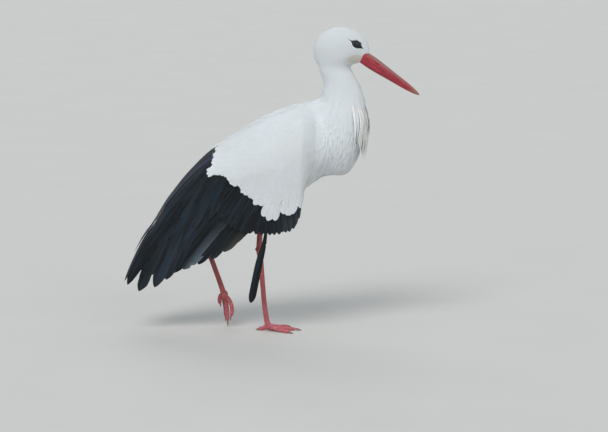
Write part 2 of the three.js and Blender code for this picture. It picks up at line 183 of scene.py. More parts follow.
# shader tools
class Value:
    # a shader socket that adds Math nodes when it is reckoned with
    def __init__(self, finish, socket):
        self.finish = finish
        self.socket = socket

    def maths(self, operation, *numbers):
        return self.finish.node("Math", {"operation": operation}, dict(enumerate(numbers)))

    def __add__(self, other):
        return self.maths("ADD", self, other)

    def __sub__(self, other):
        return self.maths("SUBTRACT", self, other)

    def __rsub__(self, other):
        return self.maths("SUBTRACT", other, self)

    def __mul__(self, other):
        return self.maths("MULTIPLY", self, other)

    def __truediv__(self, other):
        return self.maths("DIVIDE", self, other)

    def __abs__(self):
        return self.maths("ABSOLUTE", self)

    __radd__ = __add__
    __rmul__ = __mul__

    def stepped(self, low, high):
        # 0 below low, 1 above high, smooth between
        return self.finish.node(
            "MapRange", {"interpolation_type": "SMOOTHSTEP"},
            {"Value": self, "From Min": low, "From Max": high},
        )


class Finish:
    # one material: a Principled shader with its constants set on its own sockets
    def __init__(self, name, constants):
        self.material = bpy.data.materials.new(name)
        self.material.use_nodes = True
        self.tree = self.material.node_tree
        self.tree.nodes.clear()
        output = self.tree.nodes.new("ShaderNodeOutputMaterial")
        self.shader = self.tree.nodes.new("ShaderNodeBsdfPrincipled")
        self.tree.links.new(self.shader.outputs[0], output.inputs["Surface"])
        self.set(constants)
        self.place = self.node("TexCoord", {}, {}, "Object")

    def set(self, values):
        for name, value in values.items():
            self.feed(self.shader.inputs[name], value)

    def feed(self, socket, value):
        if isinstance(value, Value):
            self.tree.links.new(value.socket, socket)
        else:
            socket.default_value = value

    def node(self, kind, settings, sockets, output=0):
        made = self.tree.nodes.new("ShaderNode" + kind)
        for name, value in settings.items():
            setattr(made, name, value)
        for name, value in sockets.items():
            self.feed(made.inputs[name], value)
        return Value(self, made.outputs[output])

    def split(self, vector):
        # the three numbers of a vector
        parts = self.node("SeparateXYZ", {}, {0: vector})
        return [Value(self, output) for output in parts.socket.node.outputs]

    def noise(self, scale, detail=3, stretch=(1, 1, 1), place=None):
        spread = self.node("Mapping", {}, {"Vector": place or self.place, "Scale": stretch})
        return self.node("TexNoise", {}, {"Vector": spread, "Scale": scale, "Detail": detail})

    def mix(self, share, one, other):
        # colours go through a colour Mix
        made = self.tree.nodes.new("ShaderNodeMix")
        made.data_type = "RGBA"
        self.feed(made.inputs[0], share)
        self.feed(made.inputs[6], one if isinstance(one, Value) else (*one, 1))
        self.feed(made.inputs[7], other if isinstance(other, Value) else (*other, 1))
        return Value(self, made.outputs[2])

    def bump(self, height, distance, strength=1.0):
        return self.node("Bump", {}, {"Height": height, "Distance": distance, "Strength": strength})


def shade(red, green, blue):
    # an sRGB colour, 0 to 255, as the linear one that shaders take
    return tuple(((c / 255 + 0.055) / 1.055) ** 2.4 if c > 10 else c / 3295 for c in (red, green, blue))


# camera, light and floor
view = {
    "aim": (0.0855, 0, 0.2951),
    "distance": 6.5,
    "elevation": 8.5,
    "lens": 150.3, "sensor": 36,  # mm
    "sight": 400,  # m
}


def addCamera():
    down = math.radians(view["elevation"])
    back = Vector((0, -math.cos(down), math.sin(down)))
    bpy.ops.object.camera_add(
        location=Vector(view["aim"]) + back * view["distance"], rotation=(math.pi / 2 - down, 0, 0)
    )
    camera = bpy.context.view_layer.objects.active
    camera.data.lens = view["lens"]
    camera.data.sensor_width = view["sensor"]
    camera.data.clip_end = view["sight"]
    bpy.context.scene.camera = camera


lamps = {  # name: (strength, softness in degrees, comes from)
    "key": (1.78, 26, (-0.4, -0.95, 1.1)),
    "fill": (0.74, 60, (0.8, -1.0, 0.3)),
    "rim": (0.48, 40, (-0.2, 1.0, 0.9)),
}
surround = {"colour": (0.86, 0.94, 1.0), "strength": 0.56}


def addLight():
    for name, (strength, softness, source) in lamps.items():
        bpy.ops.object.light_add(type="SUN", rotation=Vector(source).to_track_quat("Z", "Y").to_euler())
        lamp = bpy.context.view_layer.objects.active
        lamp.name = name
        lamp.data.energy = strength
        lamp.data.angle = math.radians(softness)
    world = bpy.data.worlds.new("studio")
    world.use_nodes = True
    backdrop = world.node_tree.nodes["Background"]
    backdrop.inputs["Color"].default_value = (*surround["colour"], 1)
    backdrop.inputs["Strength"].default_value = surround["strength"]
    bpy.context.scene.world = world
    bpy.context.scene.view_settings.view_transform = "Standard"


def addFloor():
    bpy.ops.mesh.primitive_plane_add(size=160)
    floor = bpy.context.view_layer.objects.active
    floor.name = "floor"
    finish = Finish("pale_floor", {"Roughness": 0.8})
    cloud = finish.noise(3)
    finish.set({"Base Color": finish.mix(cloud, shade(190, 188, 184), shade(196, 194, 190))})
    floor.data.materials.append(finish.material)


addCamera()
addLight()
addFloor()
print("camera, light and floor")

# how the body runs
# the line through head, neck and trunk from the bill's root to the rump, as (x, z) in mm
bodyLine = np.array([
    (243, 699), (178, 719), (165, 663), (185, 583), (155, 510), (60, 440), (-60, 405), (-205, 380),
], float)
bodyLine[:, 0] += middle[0]
bodyLine *= mm


def alongBody(points):
    # how far along the body line each point is, in mm, and the way that the line runs there
    best = np.full(len(points), np.inf)
    along = np.zeros(len(points))
    heading = np.zeros((len(points), 3))
    flat = points[:, [0, 2]]
    start = 0.0
    for one, two in zip(bodyLine[:-1], bodyLine[1:]):
        run = two - one
        length = np.linalg.norm(run)
        t = np.clip((flat - one) @ run / length**2, 0, 1)
        off = np.linalg.norm(flat - one - t[:, None] * run, axis=1)
        nearer = off < best
        best[nearer] = off[nearer]
        along[nearer] = (start + t[nearer] * length) / mm
        heading[nearer] = (run[0] / length, 0, run[1] / length)
        start += length
    return along, heading


eyeCentre = np.array([219.5, 15.5, 736]) * mm
billRoot = np.array([241.5, 0, 699]) * mm
billDrop = math.radians(34)
billAxis = np.array([math.cos(billDrop), 0, -math.sin(billDrop)])
billUp = np.array([math.sin(billDrop), 0, math.cos(billDrop)])
# bare black skin round the eye: a spindle with a thin line behind it, mm
eyePatch = {
    "slope": 33, "halfLength": 21, "halfHeight": 8.0, "tail": 27, "tailHeight": 1.1,
    "under": 1.2,  # how much higher it is below the feathers round it
    "clear": (1.2, 2.8),  # how far along small feathers nothing of them may lie on it
}
headBase = (0.66, 0.67)  # between these heights the head's own skin begins, m
# thinly feathered, cream and pink, with a painted mauve shadow at its rear: place and reach, mm, then
# how much thinner and how much toned
cheek = {"place": (222, 700), "reach": (24, 12), "thinner": 0.25, "toned": 0.6}
# how thick the plumage is, mm, by the way along the body line from the bill's root
plumage = through([
    (0, 0.6), (26, 0.8), (60, 1.2), (110, 2.2), (160, 3.4), (230, 5.6), (300, 8.5), (420, 9), (560, 9),
    (676, 8),
])
thinPlumage = {
    "eye": (0.8, 10, 0.1),  # its depth at the eye, the radius of that, mm, and its rise from there
    "thigh": 4.5, "thighTop": (318, 350),  # its depth, and between which heights it begins, mm
}


def coatDepth(points):
    along, _ = alongBody(points)
    depth = plumage(along)
    eyes = np.linalg.norm(np.abs(points) - eyeCentre, axis=1) / mm
    least, radius, rise = thinPlumage["eye"]
    depth = np.minimum(depth, least + np.maximum(eyes - radius, 0) * rise)
    thigh = 1 - smoothstep(points[:, 2] / mm, *thinPlumage["thighTop"])
    return partWay(depth, thinPlumage["thigh"], thigh) * mm


def roundEye(x, z, stepped):
    # from a place's way from the eye: how far it is from the line of the black patch, how much the
    # patch has narrowed there, how high its tail is, and how near its end
    slope = math.radians(eyePatch["slope"])
    half = eyePatch["halfLength"] * mm
    ahead = x * math.cos(slope) - z * math.sin(slope)
    above = x * math.sin(slope) + z * math.cos(slope)
    narrowing = 1 - stepped(abs(ahead) / half, 0.15, 0.92)
    whole = (eyePatch["halfLength"] + eyePatch["tail"]) / 2 * mm
    ending = abs(ahead + (whole - half)) / whole
    tail = (1 - stepped(ending, 0.5, 1.0)) * eyePatch["tailHeight"] * mm
    return abs(above), narrowing, tail, ending


# skin
skinShape = {
    "voxel": 3.0, "legVoxel": 0.95,  # mm
    "smoothing": 70, "legSmoothing": 60,  # rounds
    "steps": (0.6, -0.61),  # of each round, in and out
    "fill": (90, 7.0), "legFill": (70, 3.2),  # rounds, and mm at most
    "inside": 0.8,  # how far it lies below the plumage, in coat depths
    "legSwell": 0.7,  # mm
    "legDetail": 0.6,  # share of the faces that is kept
}
fleshNodes = ["head", "neck_upper", "neck_lower", "trunk", "thigh_right", "thigh_left"]
toes = ("middle", "inner", "outer", "hind")
# lumps where the toes of the right and the left foot meet: place and half width, mm
knuckles = [((2, -15, 9), (13, 9.5, 8)), ((-119, 40, 82), (9, 9, 13))]
nape = [((150, 0, 692), (30, 25, 26)), ((155, 0, 671), (30, 25, 26))]  # lumps that fill it, likewise
legNodes = [
    f"{part}_{side}" for side in ("right", "left")
    for part in ("tibia", "tarsus", *[f"toe_{toe}" for toe in toes])
]


def neighbourMean(piece):
    # tells the mean of each corner's neighbours
    ends = np.empty(len(piece.data.edges) * 2, int)
    piece.data.edges.foreach_get("vertices", ends)
    one, two = ends.reshape(-1, 2).T
    count = len(piece.data.vertices)
    shared = np.bincount(one, minlength=count) + np.bincount(two, minlength=count)

    def mean(corners):
        sums = [
            np.bincount(one, corners[two, axis], count) + np.bincount(two, corners[one, axis], count)
            for axis in range(3)
        ]
        return np.stack(sums, axis=-1) / shared[:, None]

    return mean


def evened(piece, rounds):
    # smooths a surface without shrinking it: each step in is followed by a slightly longer one out
    mean = neighbourMean(piece)
    corners = cornersOf(piece)
    for step in skinShape["steps"] * rounds:
        corners = corners + (mean(corners) - corners) * step
    moveCorners(piece, corners)


def filled(piece, rounds, most):
    # fills creases, by some mm at most, and leaves what bulges
    mean = neighbourMean(piece)
    start, normals = cornersOf(piece), cornersOf(piece, "normal")
    corners = start
    for _ in range(rounds):
        corners = corners + normals * np.maximum(dot(mean(corners) - corners, normals), 0)
    rise = np.minimum(dot(corners - start, normals), most * mm)
    moveCorners(piece, start + normals * rise)


def smoothed(nodes, name, voxel, rounds, lumps=()):
    piece = copyOf(nodes, name)
    for place, reach in lumps:
        location = (np.array(place) + middle) * mm
        bpy.ops.mesh.primitive_uv_sphere_add(
            segments=24, ring_count=16, location=location, scale=np.array(reach) * mm
        )
        lump = bpy.context.view_layer.objects.active
        only(piece, lump)
        bpy.ops.object.join()
    modified(piece, "REMESH", mode="VOXEL", voxel_size=voxel * mm)
    evened(piece, rounds)
    return piece


def skinFinish():
    finish = Finish("body_skin", {
        "Roughness": 0.55, "Subsurface Weight": 0.15, "Subsurface Radius": (0.003, 0.0015, 0.001),
        "Subsurface Scale": 1.0,
    })
    x, _, z = finish.split(finish.place)
    # beside the head the pattern lies in the plane of x and z
    fromEye = (x - float(eyeCentre[0]), z - float(eyeCentre[2]))
    above, narrowing, tail, ending = roundEye(*fromEye, Value.stepped)
    halfHigh = narrowing * (eyePatch["halfHeight"] + eyePatch["under"]) * mm + tail + 0.0004
    patch = (1 - (above / halfHigh).stepped(0.9, 1.0)) * (1 - ending.stepped(0.97, 1.03))
    onHead = z.stepped(*headBase)
    fleck = finish.noise(900, 2)
    pale = finish.mix(fleck, shade(238, 230, 212), shade(232, 216, 202))
    wrinkled = finish.noise(260, 4, (1, 1, 3))
    bare = finish.mix(wrinkled.stepped(0.35, 0.75) * 0.5, pale, shade(206, 172, 164))
    dark = finish.mix(fleck, shade(14, 15, 18), shade(30, 30, 33))
    down = finish.mix(finish.noise(120), shade(222, 228, 230), shade(236, 239, 240))
    onCheekX = (x - (cheek["place"][0] + middle[0]) * mm) / (cheek["reach"][0] * mm)
    onCheekZ = (z - cheek["place"][1] * mm) / (cheek["reach"][1] * mm)
    # towards the cheek's rear the bare skin turns mauve: painted shadow in the crease behind the cheek
    bare = finish.mix((onCheekX * -1).stepped(0.2, 0.9), bare, shade(190, 162, 172))
    onCheek = 1 - (onCheekX * onCheekX + onCheekZ * onCheekZ).stepped(0.5, 1.3)
    base = finish.mix(onCheek * onHead, down, bare)
    finish.set({
        "Base Color": finish.mix(patch * onHead, base, dark),
        "Normal": finish.bump(wrinkled + fleck * 0.4, 0.0006),
    })
    return finish


def legFinish():
    finish = Finish("leg_skin", {
        "Roughness": 0.5, "Subsurface Weight": 0.12, "Subsurface Radius": (0.003, 0.001, 0.0008),
        "Subsurface Scale": 1.0,
    })
    flat = finish.node("Mapping", {}, {"Vector": finish.place, "Scale": (1, 1, 0.7)})
    cells = finish.node("TexVoronoi", {"feature": "DISTANCE_TO_EDGE"}, {"Vector": flat, "Scale": 430.0})
    scale = cells.stepped(0.0, 0.12)
    blotch = finish.noise(38, 4)
    dust = finish.noise(150, 5).stepped(0.5, 0.72)
    _, _, z = finish.split(finish.place)
    low = 1 - z.stepped(0.0, 0.11)
    dull = finish.mix(blotch.stepped(0.3, 0.7), shade(146, 58, 58), shade(172, 86, 84))
    red = finish.mix(low * 0.75, dull, shade(204, 104, 118))  # the feet are paler and pinker
    furrow = finish.mix(scale, shade(138, 56, 60), red)
    finish.set({
        "Base Color": finish.mix(dust * (low * 0.3 + 0.12), furrow, shade(222, 166, 162)),
        "Roughness": blotch * 0.2 + 0.4,
        "Normal": finish.bump(scale + blotch * 0.5, 0.0005, 0.7),
    })
    return finish


def addSkin():
    body = smoothed(fleshNodes, "skin", skinShape["voxel"], skinShape["smoothing"], nape)
    corners = cornersOf(body)
    inward = cornersOf(body, "normal") * coatDepth(corners)[:, None] * skinShape["inside"]
    moveCorners(body, corners - inward)
    filled(body, *skinShape["fill"])
    modified(body, "SMOOTH", factor=0.5, iterations=3)
    legs = smoothed(legNodes, "bare_legs", skinShape["legVoxel"], skinShape["legSmoothing"], knuckles)
    filled(legs, *skinShape["legFill"])
    modified(legs, "DECIMATE", ratio=skinShape["legDetail"])
    print("body", len(body.data.polygons), "legs", len(legs.data.polygons))
    corners = cornersOf(legs) + cornersOf(legs, "normal") * skinShape["legSwell"] * mm
    corners[:, 2] = np.maximum(corners[:, 2], 0)
    moveCorners(legs, corners)
    for piece, finish in ((body, skinFinish()), (legs, legFinish())):
        piece.data.materials.clear()
        piece.data.materials.append(finish.material)
    guide = skinGuide(body)
    only(body, legs)
    bpy.ops.object.join()
    bpy.ops.object.shade_smooth()
    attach(body, "root")
    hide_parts(*fleshNodes, *legNodes)
    return guide


# how feathers lie on the body: a place's x, y, z in mm and the heading's x, z there, on both sides
lie = np.array([
    (236, 5, 740, -0.75, 0.66), (200, 8, 778, -1, 0.25), (150, 8, 776, -1, -0.5),
    (118, 12, 730, -0.3, -1), (120, 10, 680, 0.2, -1), (200, 30, 700, -0.95, -0.35),
    (195, 30, 745, -1, -0.15), (238, 14, 722, -1, 0.12), (228, 10, 684, -1, -0.1),
    (150, 30, 700, -0.55, -0.85), (200, 22, 665, -0.3, -1), (222, 5, 620, 0.12, -1),
    (140, 10, 600, -0.1, -1), (185, 42, 590, 0, -1), (240, 10, 530, 0.05, -1),
    (110, 30, 560, -0.9, -0.4), (180, 66, 500, -0.15, -1), (246, 10, 470, -0.1, -1),
    (225, 20, 420, -0.6, -0.8), (190, 50, 430, -0.4, -0.9), (120, 80, 450, -0.5, -0.85),
    (160, 10, 385, -0.9, -0.4), (60, 30, 330, -1, -0.1), (40, 90, 400, -0.8, -0.6),
    (-60, 40, 310, -1, 0.1), (-60, 85, 400, -0.9, -0.3), (-150, 40, 350, -0.9, -0.2),
    (-190, 20, 400, -0.75, -0.65), (0, 20, 560, -1, -0.3), (-100, 20, 490, -0.85, -0.5),
    (206, 22, 746, -0.84, 0.54), (233, 13, 727, -0.84, 0.54),
])
legLie = {"below": 0.335, "right": (-0.15, 0, -1), "left": (-0.85, 0, -0.5)}


def flowAt(points, normals):
    # the heading of the plumage at each point, along the surface
    places = (lie[:, :3] + middle) * mm
    headings = unit(lie[:, [3, 3, 4]] * (1, 0, 1))
    folded = points * (1, 0, 1) + np.abs(points) * (0, 1, 0)
    apart = np.linalg.norm(folded[:, None] - places[None], axis=2)
    weights = 1 / (apart + 0.012) ** 4
    flow = weights @ headings
    leg = (points[:, 2] < legLie["below"])[:, None]
    left = (points[:, 1] > 0)[:, None]
    flow = np.where(leg, np.where(left, legLie["left"], legLie["right"]), flow)
    flow = flow - normals * dot(flow, normals)
    return unit(flow)


def skinGuide(piece):
    # what feathers are laid on: the skin's faces with their middles, normals, areas and headings
    mesh = piece.data
    mesh.calc_loop_triangles()
    triangles = np.empty(len(mesh.loop_triangles) * 3, int)
    mesh.loop_triangles.foreach_get("vertices", triangles)
    triangles = triangles.reshape(-1, 3)
    corners = cornersOf(piece)
    normals = unit(cornersOf(piece, "normal")[triangles].mean(axis=1))
    sides = corners[triangles]
    areas = np.linalg.norm(np.cross(sides[:, 1] - sides[:, 0], sides[:, 2] - sides[:, 0]), axis=1) / 2
    return {
        "tree": BVHTree.FromPolygons(corners.tolist(), triangles.tolist()),
        "sides": sides,
        "areas": areas,
        "normals": normals,
        "flow": flowAt(sides.mean(axis=1), normals),
    }


guide = addSkin()
print("skin", len(guide["areas"]), "faces")


def nearest(points):
    # the nearest places on the skin and their faces
    found = [guide["tree"].find_nearest(point) for point in points.tolist()]
    return np.array([place[0][:] for place in found]), np.array([place[2] for place in found])


# bill
billShape = {
    "length": 166, "root": 24,
    "depth": through([
        (-22, 15), (0, 15.6), (24, 15.8), (52, 14), (86, 11.4), (115, 9.4), (138, 7.2), (156, 4.2),
        (166, 0.6),
    ]),
    "halfWidth": through([
        (-22, 13), (0, 12.8), (24, 11.6), (52, 9.6), (86, 7.6), (115, 6.2), (138, 4.8), (156, 3),
        (166, 0.5),
    ]),
    "lowerWidth": 0.93,  # share of the upper mandible's
    "nostril": (31, 5.2, 8.5, 1.5),  # along, above the gape, half its length, half its height
    "pit": 1.9, "groove": 0.45,  # how deep the nostril and the groove behind it are
    "gape": 0.12,  # half the gap between the mandibles
}


def mandible(name, side):
    # side is 1 for the upper and -1 for the lower mandible
    shape = billShape

    def place(u, v):
        along = -shape["root"] + (shape["length"] + shape["root"]) * np.sin(v * math.pi / 2) ** 0.9
        angle = u * 2 * math.pi
        outer = np.sin(angle) > 0
        across = np.sign(np.cos(angle)) * np.abs(np.cos(angle)) ** 0.85
        height = np.abs(np.sin(angle)) ** 0.8
        ends = np.where((v > 0.0001) & (v < 0.9999), 1, 0.02)
        depth = shape["depth"](along) * ends
        halfWidth = shape["halfWidth"](along) * (1 if side > 0 else shape["lowerWidth"]) * ends
        up = np.where(outer, depth * height, shape["gape"] * height)
        # a groove runs on from the nostril, and the lower mandible has one along its side
        at, over, halfLong, halfHigh = shape["nostril"]
        groove = np.exp(-(((up - over) / 1.5) ** 2)) * smoothstep(along, 14, 26)
        groove *= 1 - smoothstep(along, 60, 120)
        pit = np.hypot((along - at) / halfLong, (up - over) / halfHigh)
        sunk = shape["groove"] * groove
        if side > 0:
            sunk = sunk + shape["pit"] * (1 - smoothstep(pit, 0.5, 1.2))
        wide = halfWidth * across
        wide -= np.sign(wide) * np.where(outer, np.minimum(sunk, halfWidth * 0.5), 0)
        ridge = 1 + 0.05 * np.exp(-((across / 0.18) ** 2)) * outer
        points = (up * ridge * side)[:, None] * billUp + along[:, None] * billAxis
        points[:, 1] += wide
        return billRoot + points * mm + side * billUp * shape["gape"] * mm

    return shapedGrid(name, 112, 150, place)


def hornFinish():
    finish = Finish("red_horn", {"Roughness": 0.35, "Coat Roughness": 0.2})
    x, _, z = finish.split(finish.place)
    along = (x - float(billRoot[0])) * billAxis[0] + (z - float(billRoot[2])) * billAxis[2]
    up = (x - float(billRoot[0])) * billUp[0] + (z - float(billRoot[2])) * billUp[2]
    tilt = (0, -billDrop, 0)
    turned = finish.node("Mapping", {}, {"Vector": finish.place, "Rotation": tilt})
    streaks = finish.noise(34, 5, (1, 14, 14), turned)
    blotch = finish.noise(30, 4)
    red = finish.mix(streaks.stepped(0.35, 0.7), shade(134, 22, 36), shade(170, 48, 62))
    red = finish.mix(blotch.stepped(0.55, 0.8) * 0.5, red, shade(116, 22, 34))
    # along the top ridge the red turns grey-tan: a painted highlight on the glossy culmen
    ridge = (up / (0.0155 - along * 0.055)).stepped(0.52, 0.92)
    paleTone = finish.mix(ridge * (streaks * 0.5 + 0.5), red, shade(134, 108, 98))
    tip = along.stepped(0.125, 0.165)
    paleTone = finish.mix(tip * 0.8, paleTone, shade(150, 116, 94))
    # a darker band along the gape: painted shade in the gap between the mandibles
    gape = 1 - (abs(up) / 0.0011).stepped(0.3, 1.0)
    finish.set({
        "Base Color": finish.mix(gape * 0.5, paleTone, shade(76, 20, 26)),
        "Roughness": streaks * 0.25 + 0.26,
        "Normal": finish.bump(streaks * 0.8 + blotch * 0.3, 0.0005),
        "Coat Weight": 0.12,
    })
    return finish


horn = hornFinish()
finished(mandible("upper_mandible", 1), horn, "red_horn", ["bill_upper"], 60)
finished(mandible("lower_mandible", -1), horn, "red_horn", ["bill_lower"], 60)
print("bill")

# eyes and lids
eyeShape = {
    "radius": 7.9, "bulge": (0.5, 0.42),  # height of the cornea, mm, and its width as an angle
    "opening": (5.3, 4.3),  # half the width and height between the lids
    "slope": 31,  # degrees that the lids tip down towards the bill
    "facing": (0.12, 1.0, 0.1),
    # height of the lids over the eye's centre, by the way out from their edge
    "lids": through([(0, 5.75), (0.08, 6.5), (0.22, 6.45), (0.45, 5.1), (0.7, 3.3), (1, 0.8)]),
    "spread": (7.6, 3.6),
    "top": 0.85,  # the share of their rows that goes out over the top, before the rest goes back under
    "floor": 4.9, "folds": 0.16,  # height of their undersides and of the folds, mm
}


def eyeAxes(side):
    out = unit(np.array(eyeShape["facing"]) * (1, side, 1))
    slope = math.radians(eyeShape["slope"])
    ahead = np.array([math.cos(slope), 0, -math.sin(slope)])
    ahead = unit(ahead - out * (ahead @ out))
    return ahead, np.cross(out, ahead) * side * -1, out


def eyeball(name, side):
    centre = eyeCentre * (1, side, 1)
    ahead, above, out = eyeAxes(side)

    def place(u, v):
        turn, fall = u * 2 * math.pi, v * math.pi
        bulge, wide = eyeShape["bulge"]
        radius = eyeShape["radius"] + bulge * np.exp(-((fall / wide) ** 2))
        ring = np.sin(fall)
        points = (np.cos(turn) * ring)[:, None] * ahead + (np.sin(turn) * ring)[:, None] * above
        return centre + (points + np.cos(fall)[:, None] * out) * (radius * mm)[:, None]

    return shapedGrid(name, 48, 40, place)


def lids(name, side):
    centre = eyeCentre * (1, side, 1)
    ahead, above, out = eyeAxes(side)

    def place(u, v):
        turn = u * 2 * math.pi
        wide, high = eyeShape["opening"]
        pointed = 1 + 0.16 * np.abs(np.cos(turn)) ** 6
        lift = 1 - 0.1 * np.maximum(np.sin(turn), 0)
        top = eyeShape["top"]
        outward = np.clip(v / top, 0, 1)
        under = np.clip((v - top) / (1 - top), 0, 1)
        along, over = eyeShape["spread"]
        reach = outward * (1 - under)
        height = eyeShape["lids"](outward) * (1 - under) + eyeShape["floor"] * under
        folds = eyeShape["folds"] * np.sin(outward * 21) * np.sin(outward * math.pi)
        folds = folds * (1 + 0.2 * np.sin(turn * 3))
        acrossWay = np.cos(turn) * (wide * pointed + along * reach * (0.45 + 0.55 * np.cos(turn) ** 2))
        upWay = np.sin(turn) * (high * lift + over * reach)
        points = acrossWay[:, None] * ahead + upWay[:, None] * above + (height + folds)[:, None] * out
        return centre + points * mm

    return shapedGrid(name, 80, 28, place)


def eyeFinish(side):
    finish = Finish("eye_" + ("right" if side < 0 else "left"), {
        "Roughness": 0.16, "Coat Weight": 0.4, "Coat Roughness": 0.02, "Specular IOR Level": 0.3,
    })
    centre = eyeCentre * (1, side, 1)
    out = eyeAxes(side)[2]
    off = finish.node("VectorMath", {"operation": "SUBTRACT"}, {0: finish.place, 1: tuple(centre)})
    facing = finish.node("VectorMath", {"operation": "DOT_PRODUCT"}, {0: off, 1: tuple(out)}, "Value")
    rays = finish.noise(520, 4)
    iris = finish.mix(rays.stepped(0.35, 0.7), shade(22, 16, 13), shade(44, 32, 24))
    edge = facing.stepped(0.0066, 0.007)
    ball = finish.mix(edge, shade(20, 17, 17), iris)
    finish.set({"Base Color": finish.mix(facing.stepped(0.00795, 0.0081), ball, shade(3, 3, 4))})
    return finish


lidFinish = Finish("lid_skin", {"Roughness": 0.42})
lidGrain = lidFinish.noise(700, 4)
lidFinish.set({
    "Base Color": lidFinish.mix(lidGrain, shade(13, 14, 17), shade(34, 35, 39)),
    "Normal": lidFinish.bump(lidGrain, 0.0004),
})
for side, label in ((-1, "right"), (1, "left")):
    finished(eyeball("eyeball_" + label, side), eyeFinish(side), "eye", ["eye_" + label], 60)
    finished(lids("eyelids_" + label, side), lidFinish, "eye", [], 60)
print("eyes")


# claws
def clawFinish():
    finish = Finish("claw_horn", {"Roughness": 0.45})
    grain = finish.noise(420, 5, (1, 1, 2.5))
    finish.set({
        "Base Color": finish.mix(grain.stepped(0.3, 0.75), shade(96, 66, 58), shade(160, 126, 112)),
        "Normal": finish.bump(grain, 0.0003),
    })
    return finish


clawShape = {"rooted": 3.0, "swell": 0.45}  # mm
clawHorn = clawFinish()
for label in ("right", "left"):
    for toe in toes:
        claw = copyOf([f"claw_{toe}_{label}"], f"horn_{toe}_{label}")
        inEditMode(claw, lambda: bpy.ops.mesh.tris_convert_to_quads())
        # the root is drawn back into the toe, and the tip stays
        corners = cornersOf(claw)
        tip = corners[np.argmax(np.linalg.norm(corners - corners.mean(axis=0), axis=1))]
        reach = np.linalg.norm(corners - tip, axis=1, keepdims=True)
        back = unit(corners.mean(axis=0) - tip) * smoothstep(reach / reach.max(), 0.55, 0.95)
        moveCorners(claw, corners + back * clawShape["rooted"] * mm)
        modified(claw, "SUBSURF", levels=2, render_levels=2)
        corners = cornersOf(claw) + cornersOf(claw, "normal") * clawShape["swell"] * mm
        corners[:, 2] = np.maximum(corners[:, 2], 0)
        moveCorners(claw, corners)
        finished(claw, clawHorn, "claw", [f"claw_{toe}_{label}"], 60)
print("claws")

# feathers
# Every feather is a closed thin blade: rings of corners along its shaft, then one corner at the tip.
# A form says of one kind of feather:
# - body, end: how many rings run up to the tip's rounding and round it
# - blunt, last: the rounding's length in half widths, and how far round it the last ring is, degrees
# - point: 1 for a round tip and more for a pointed one
# - root, swell: its width at the root, and how far along it reaches its full width
# - sweep, camber, tilt: how far barbs slant ahead, sides droop and it leans over the next feather
# - columns: its corners across, from edge to edge; thick, shaft: mm
# - rise, loose: on the wing, how far its tip is lifted and how much that differs, mm
# - fray, splits: how uneven its edges are, and how often they are split
# - stray, turn: on the skin, how much headings differ, and how soon they follow it
# - depth, loose, sink: how far up in the coat the tip is, how much that differs, the root's depth, mm
shaftRadius = 0.8  # mm


def stationsOf(form, lengths, halfWidths):
    # where the rings and the tip stand along each shaft, from 0 to 1, and half widths at the rings
    rounding = np.clip(1 - form["blunt"] * halfWidths / lengths, 0.25, 0.97)[:, None]
    upTo = np.linspace(0, 1, form["body"], endpoint=False) * rounding
    turn = np.sin(np.linspace(0, math.radians(form["last"]), form["end"]))
    stations = np.concatenate([upTo, rounding + (1 - rounding) * turn], axis=1)
    width = form["root"] + (1 - form["root"]) * smoothstep(stations, -0.12, form["swell"])
    width[:, form["body"]:] *= (1 - turn**2) ** (form["point"] / 2)
    t = np.concatenate([stations, np.ones((len(stations), 1))], axis=1)
    return t, width * halfWidths[:, None]


def frayed(widths, form, rng):
    # half widths of both vanes, a little uneven
    both = np.repeat(widths[..., None], 2, axis=-1)
    return both * (1 + form["fray"] * rng.uniform(-1, 1, both.shape))


def blades(spine, axes, widths, t, form, tilt=0.0):
    # corners of every blade, and for each of them mm across, the share along and the share across
    along, across, over = axes
    stations = t[:, :-1]
    columns = np.array(form["columns"], float)
    ring = np.concatenate([columns, columns[-2:0:-1]])
    face = np.concatenate([np.ones(len(columns)), -np.ones(len(columns) - 2)])
    side = ring * np.where(ring < 0, widths[..., :1], widths[..., -1:])
    reach = np.abs(side)
    ahead = form["sweep"] * reach * (1 - 0.8 * stations[..., None] ** 6)
    fall = np.abs(ring) ** 1.6 * reach
    half = form["thick"] / 2 * np.sqrt(1 - ring**2) * (1.15 - 0.6 * stations[..., None])
    shaft = form["shaft"] * np.exp(-((side / shaftRadius) ** 2)) * (1 - stations[..., None])
    high = tilt * side - form["camber"] * fall + face * (half + shaft)
    corners = spine[:, :-1, None] + side[..., None] * across[:, :, None]
    corners = corners + ahead[..., None] * along[:, :, None] + high[..., None] * over[:, :, None]
    count = len(spine)
    corners = np.concatenate([corners.reshape(count, -1, 3), spine[:, -1:]], axis=1)
    share = np.broadcast_to(ring, side.shape)
    run = np.repeat(stations, len(ring), axis=1)
    marks = np.stack([side.reshape(count, -1), run, share.reshape(count, -1)], axis=-1)
    marks = np.concatenate([marks, np.tile([[[0.0, 1.0, 0.0]]], (count, 1, 1))], axis=1)
    return corners, marks


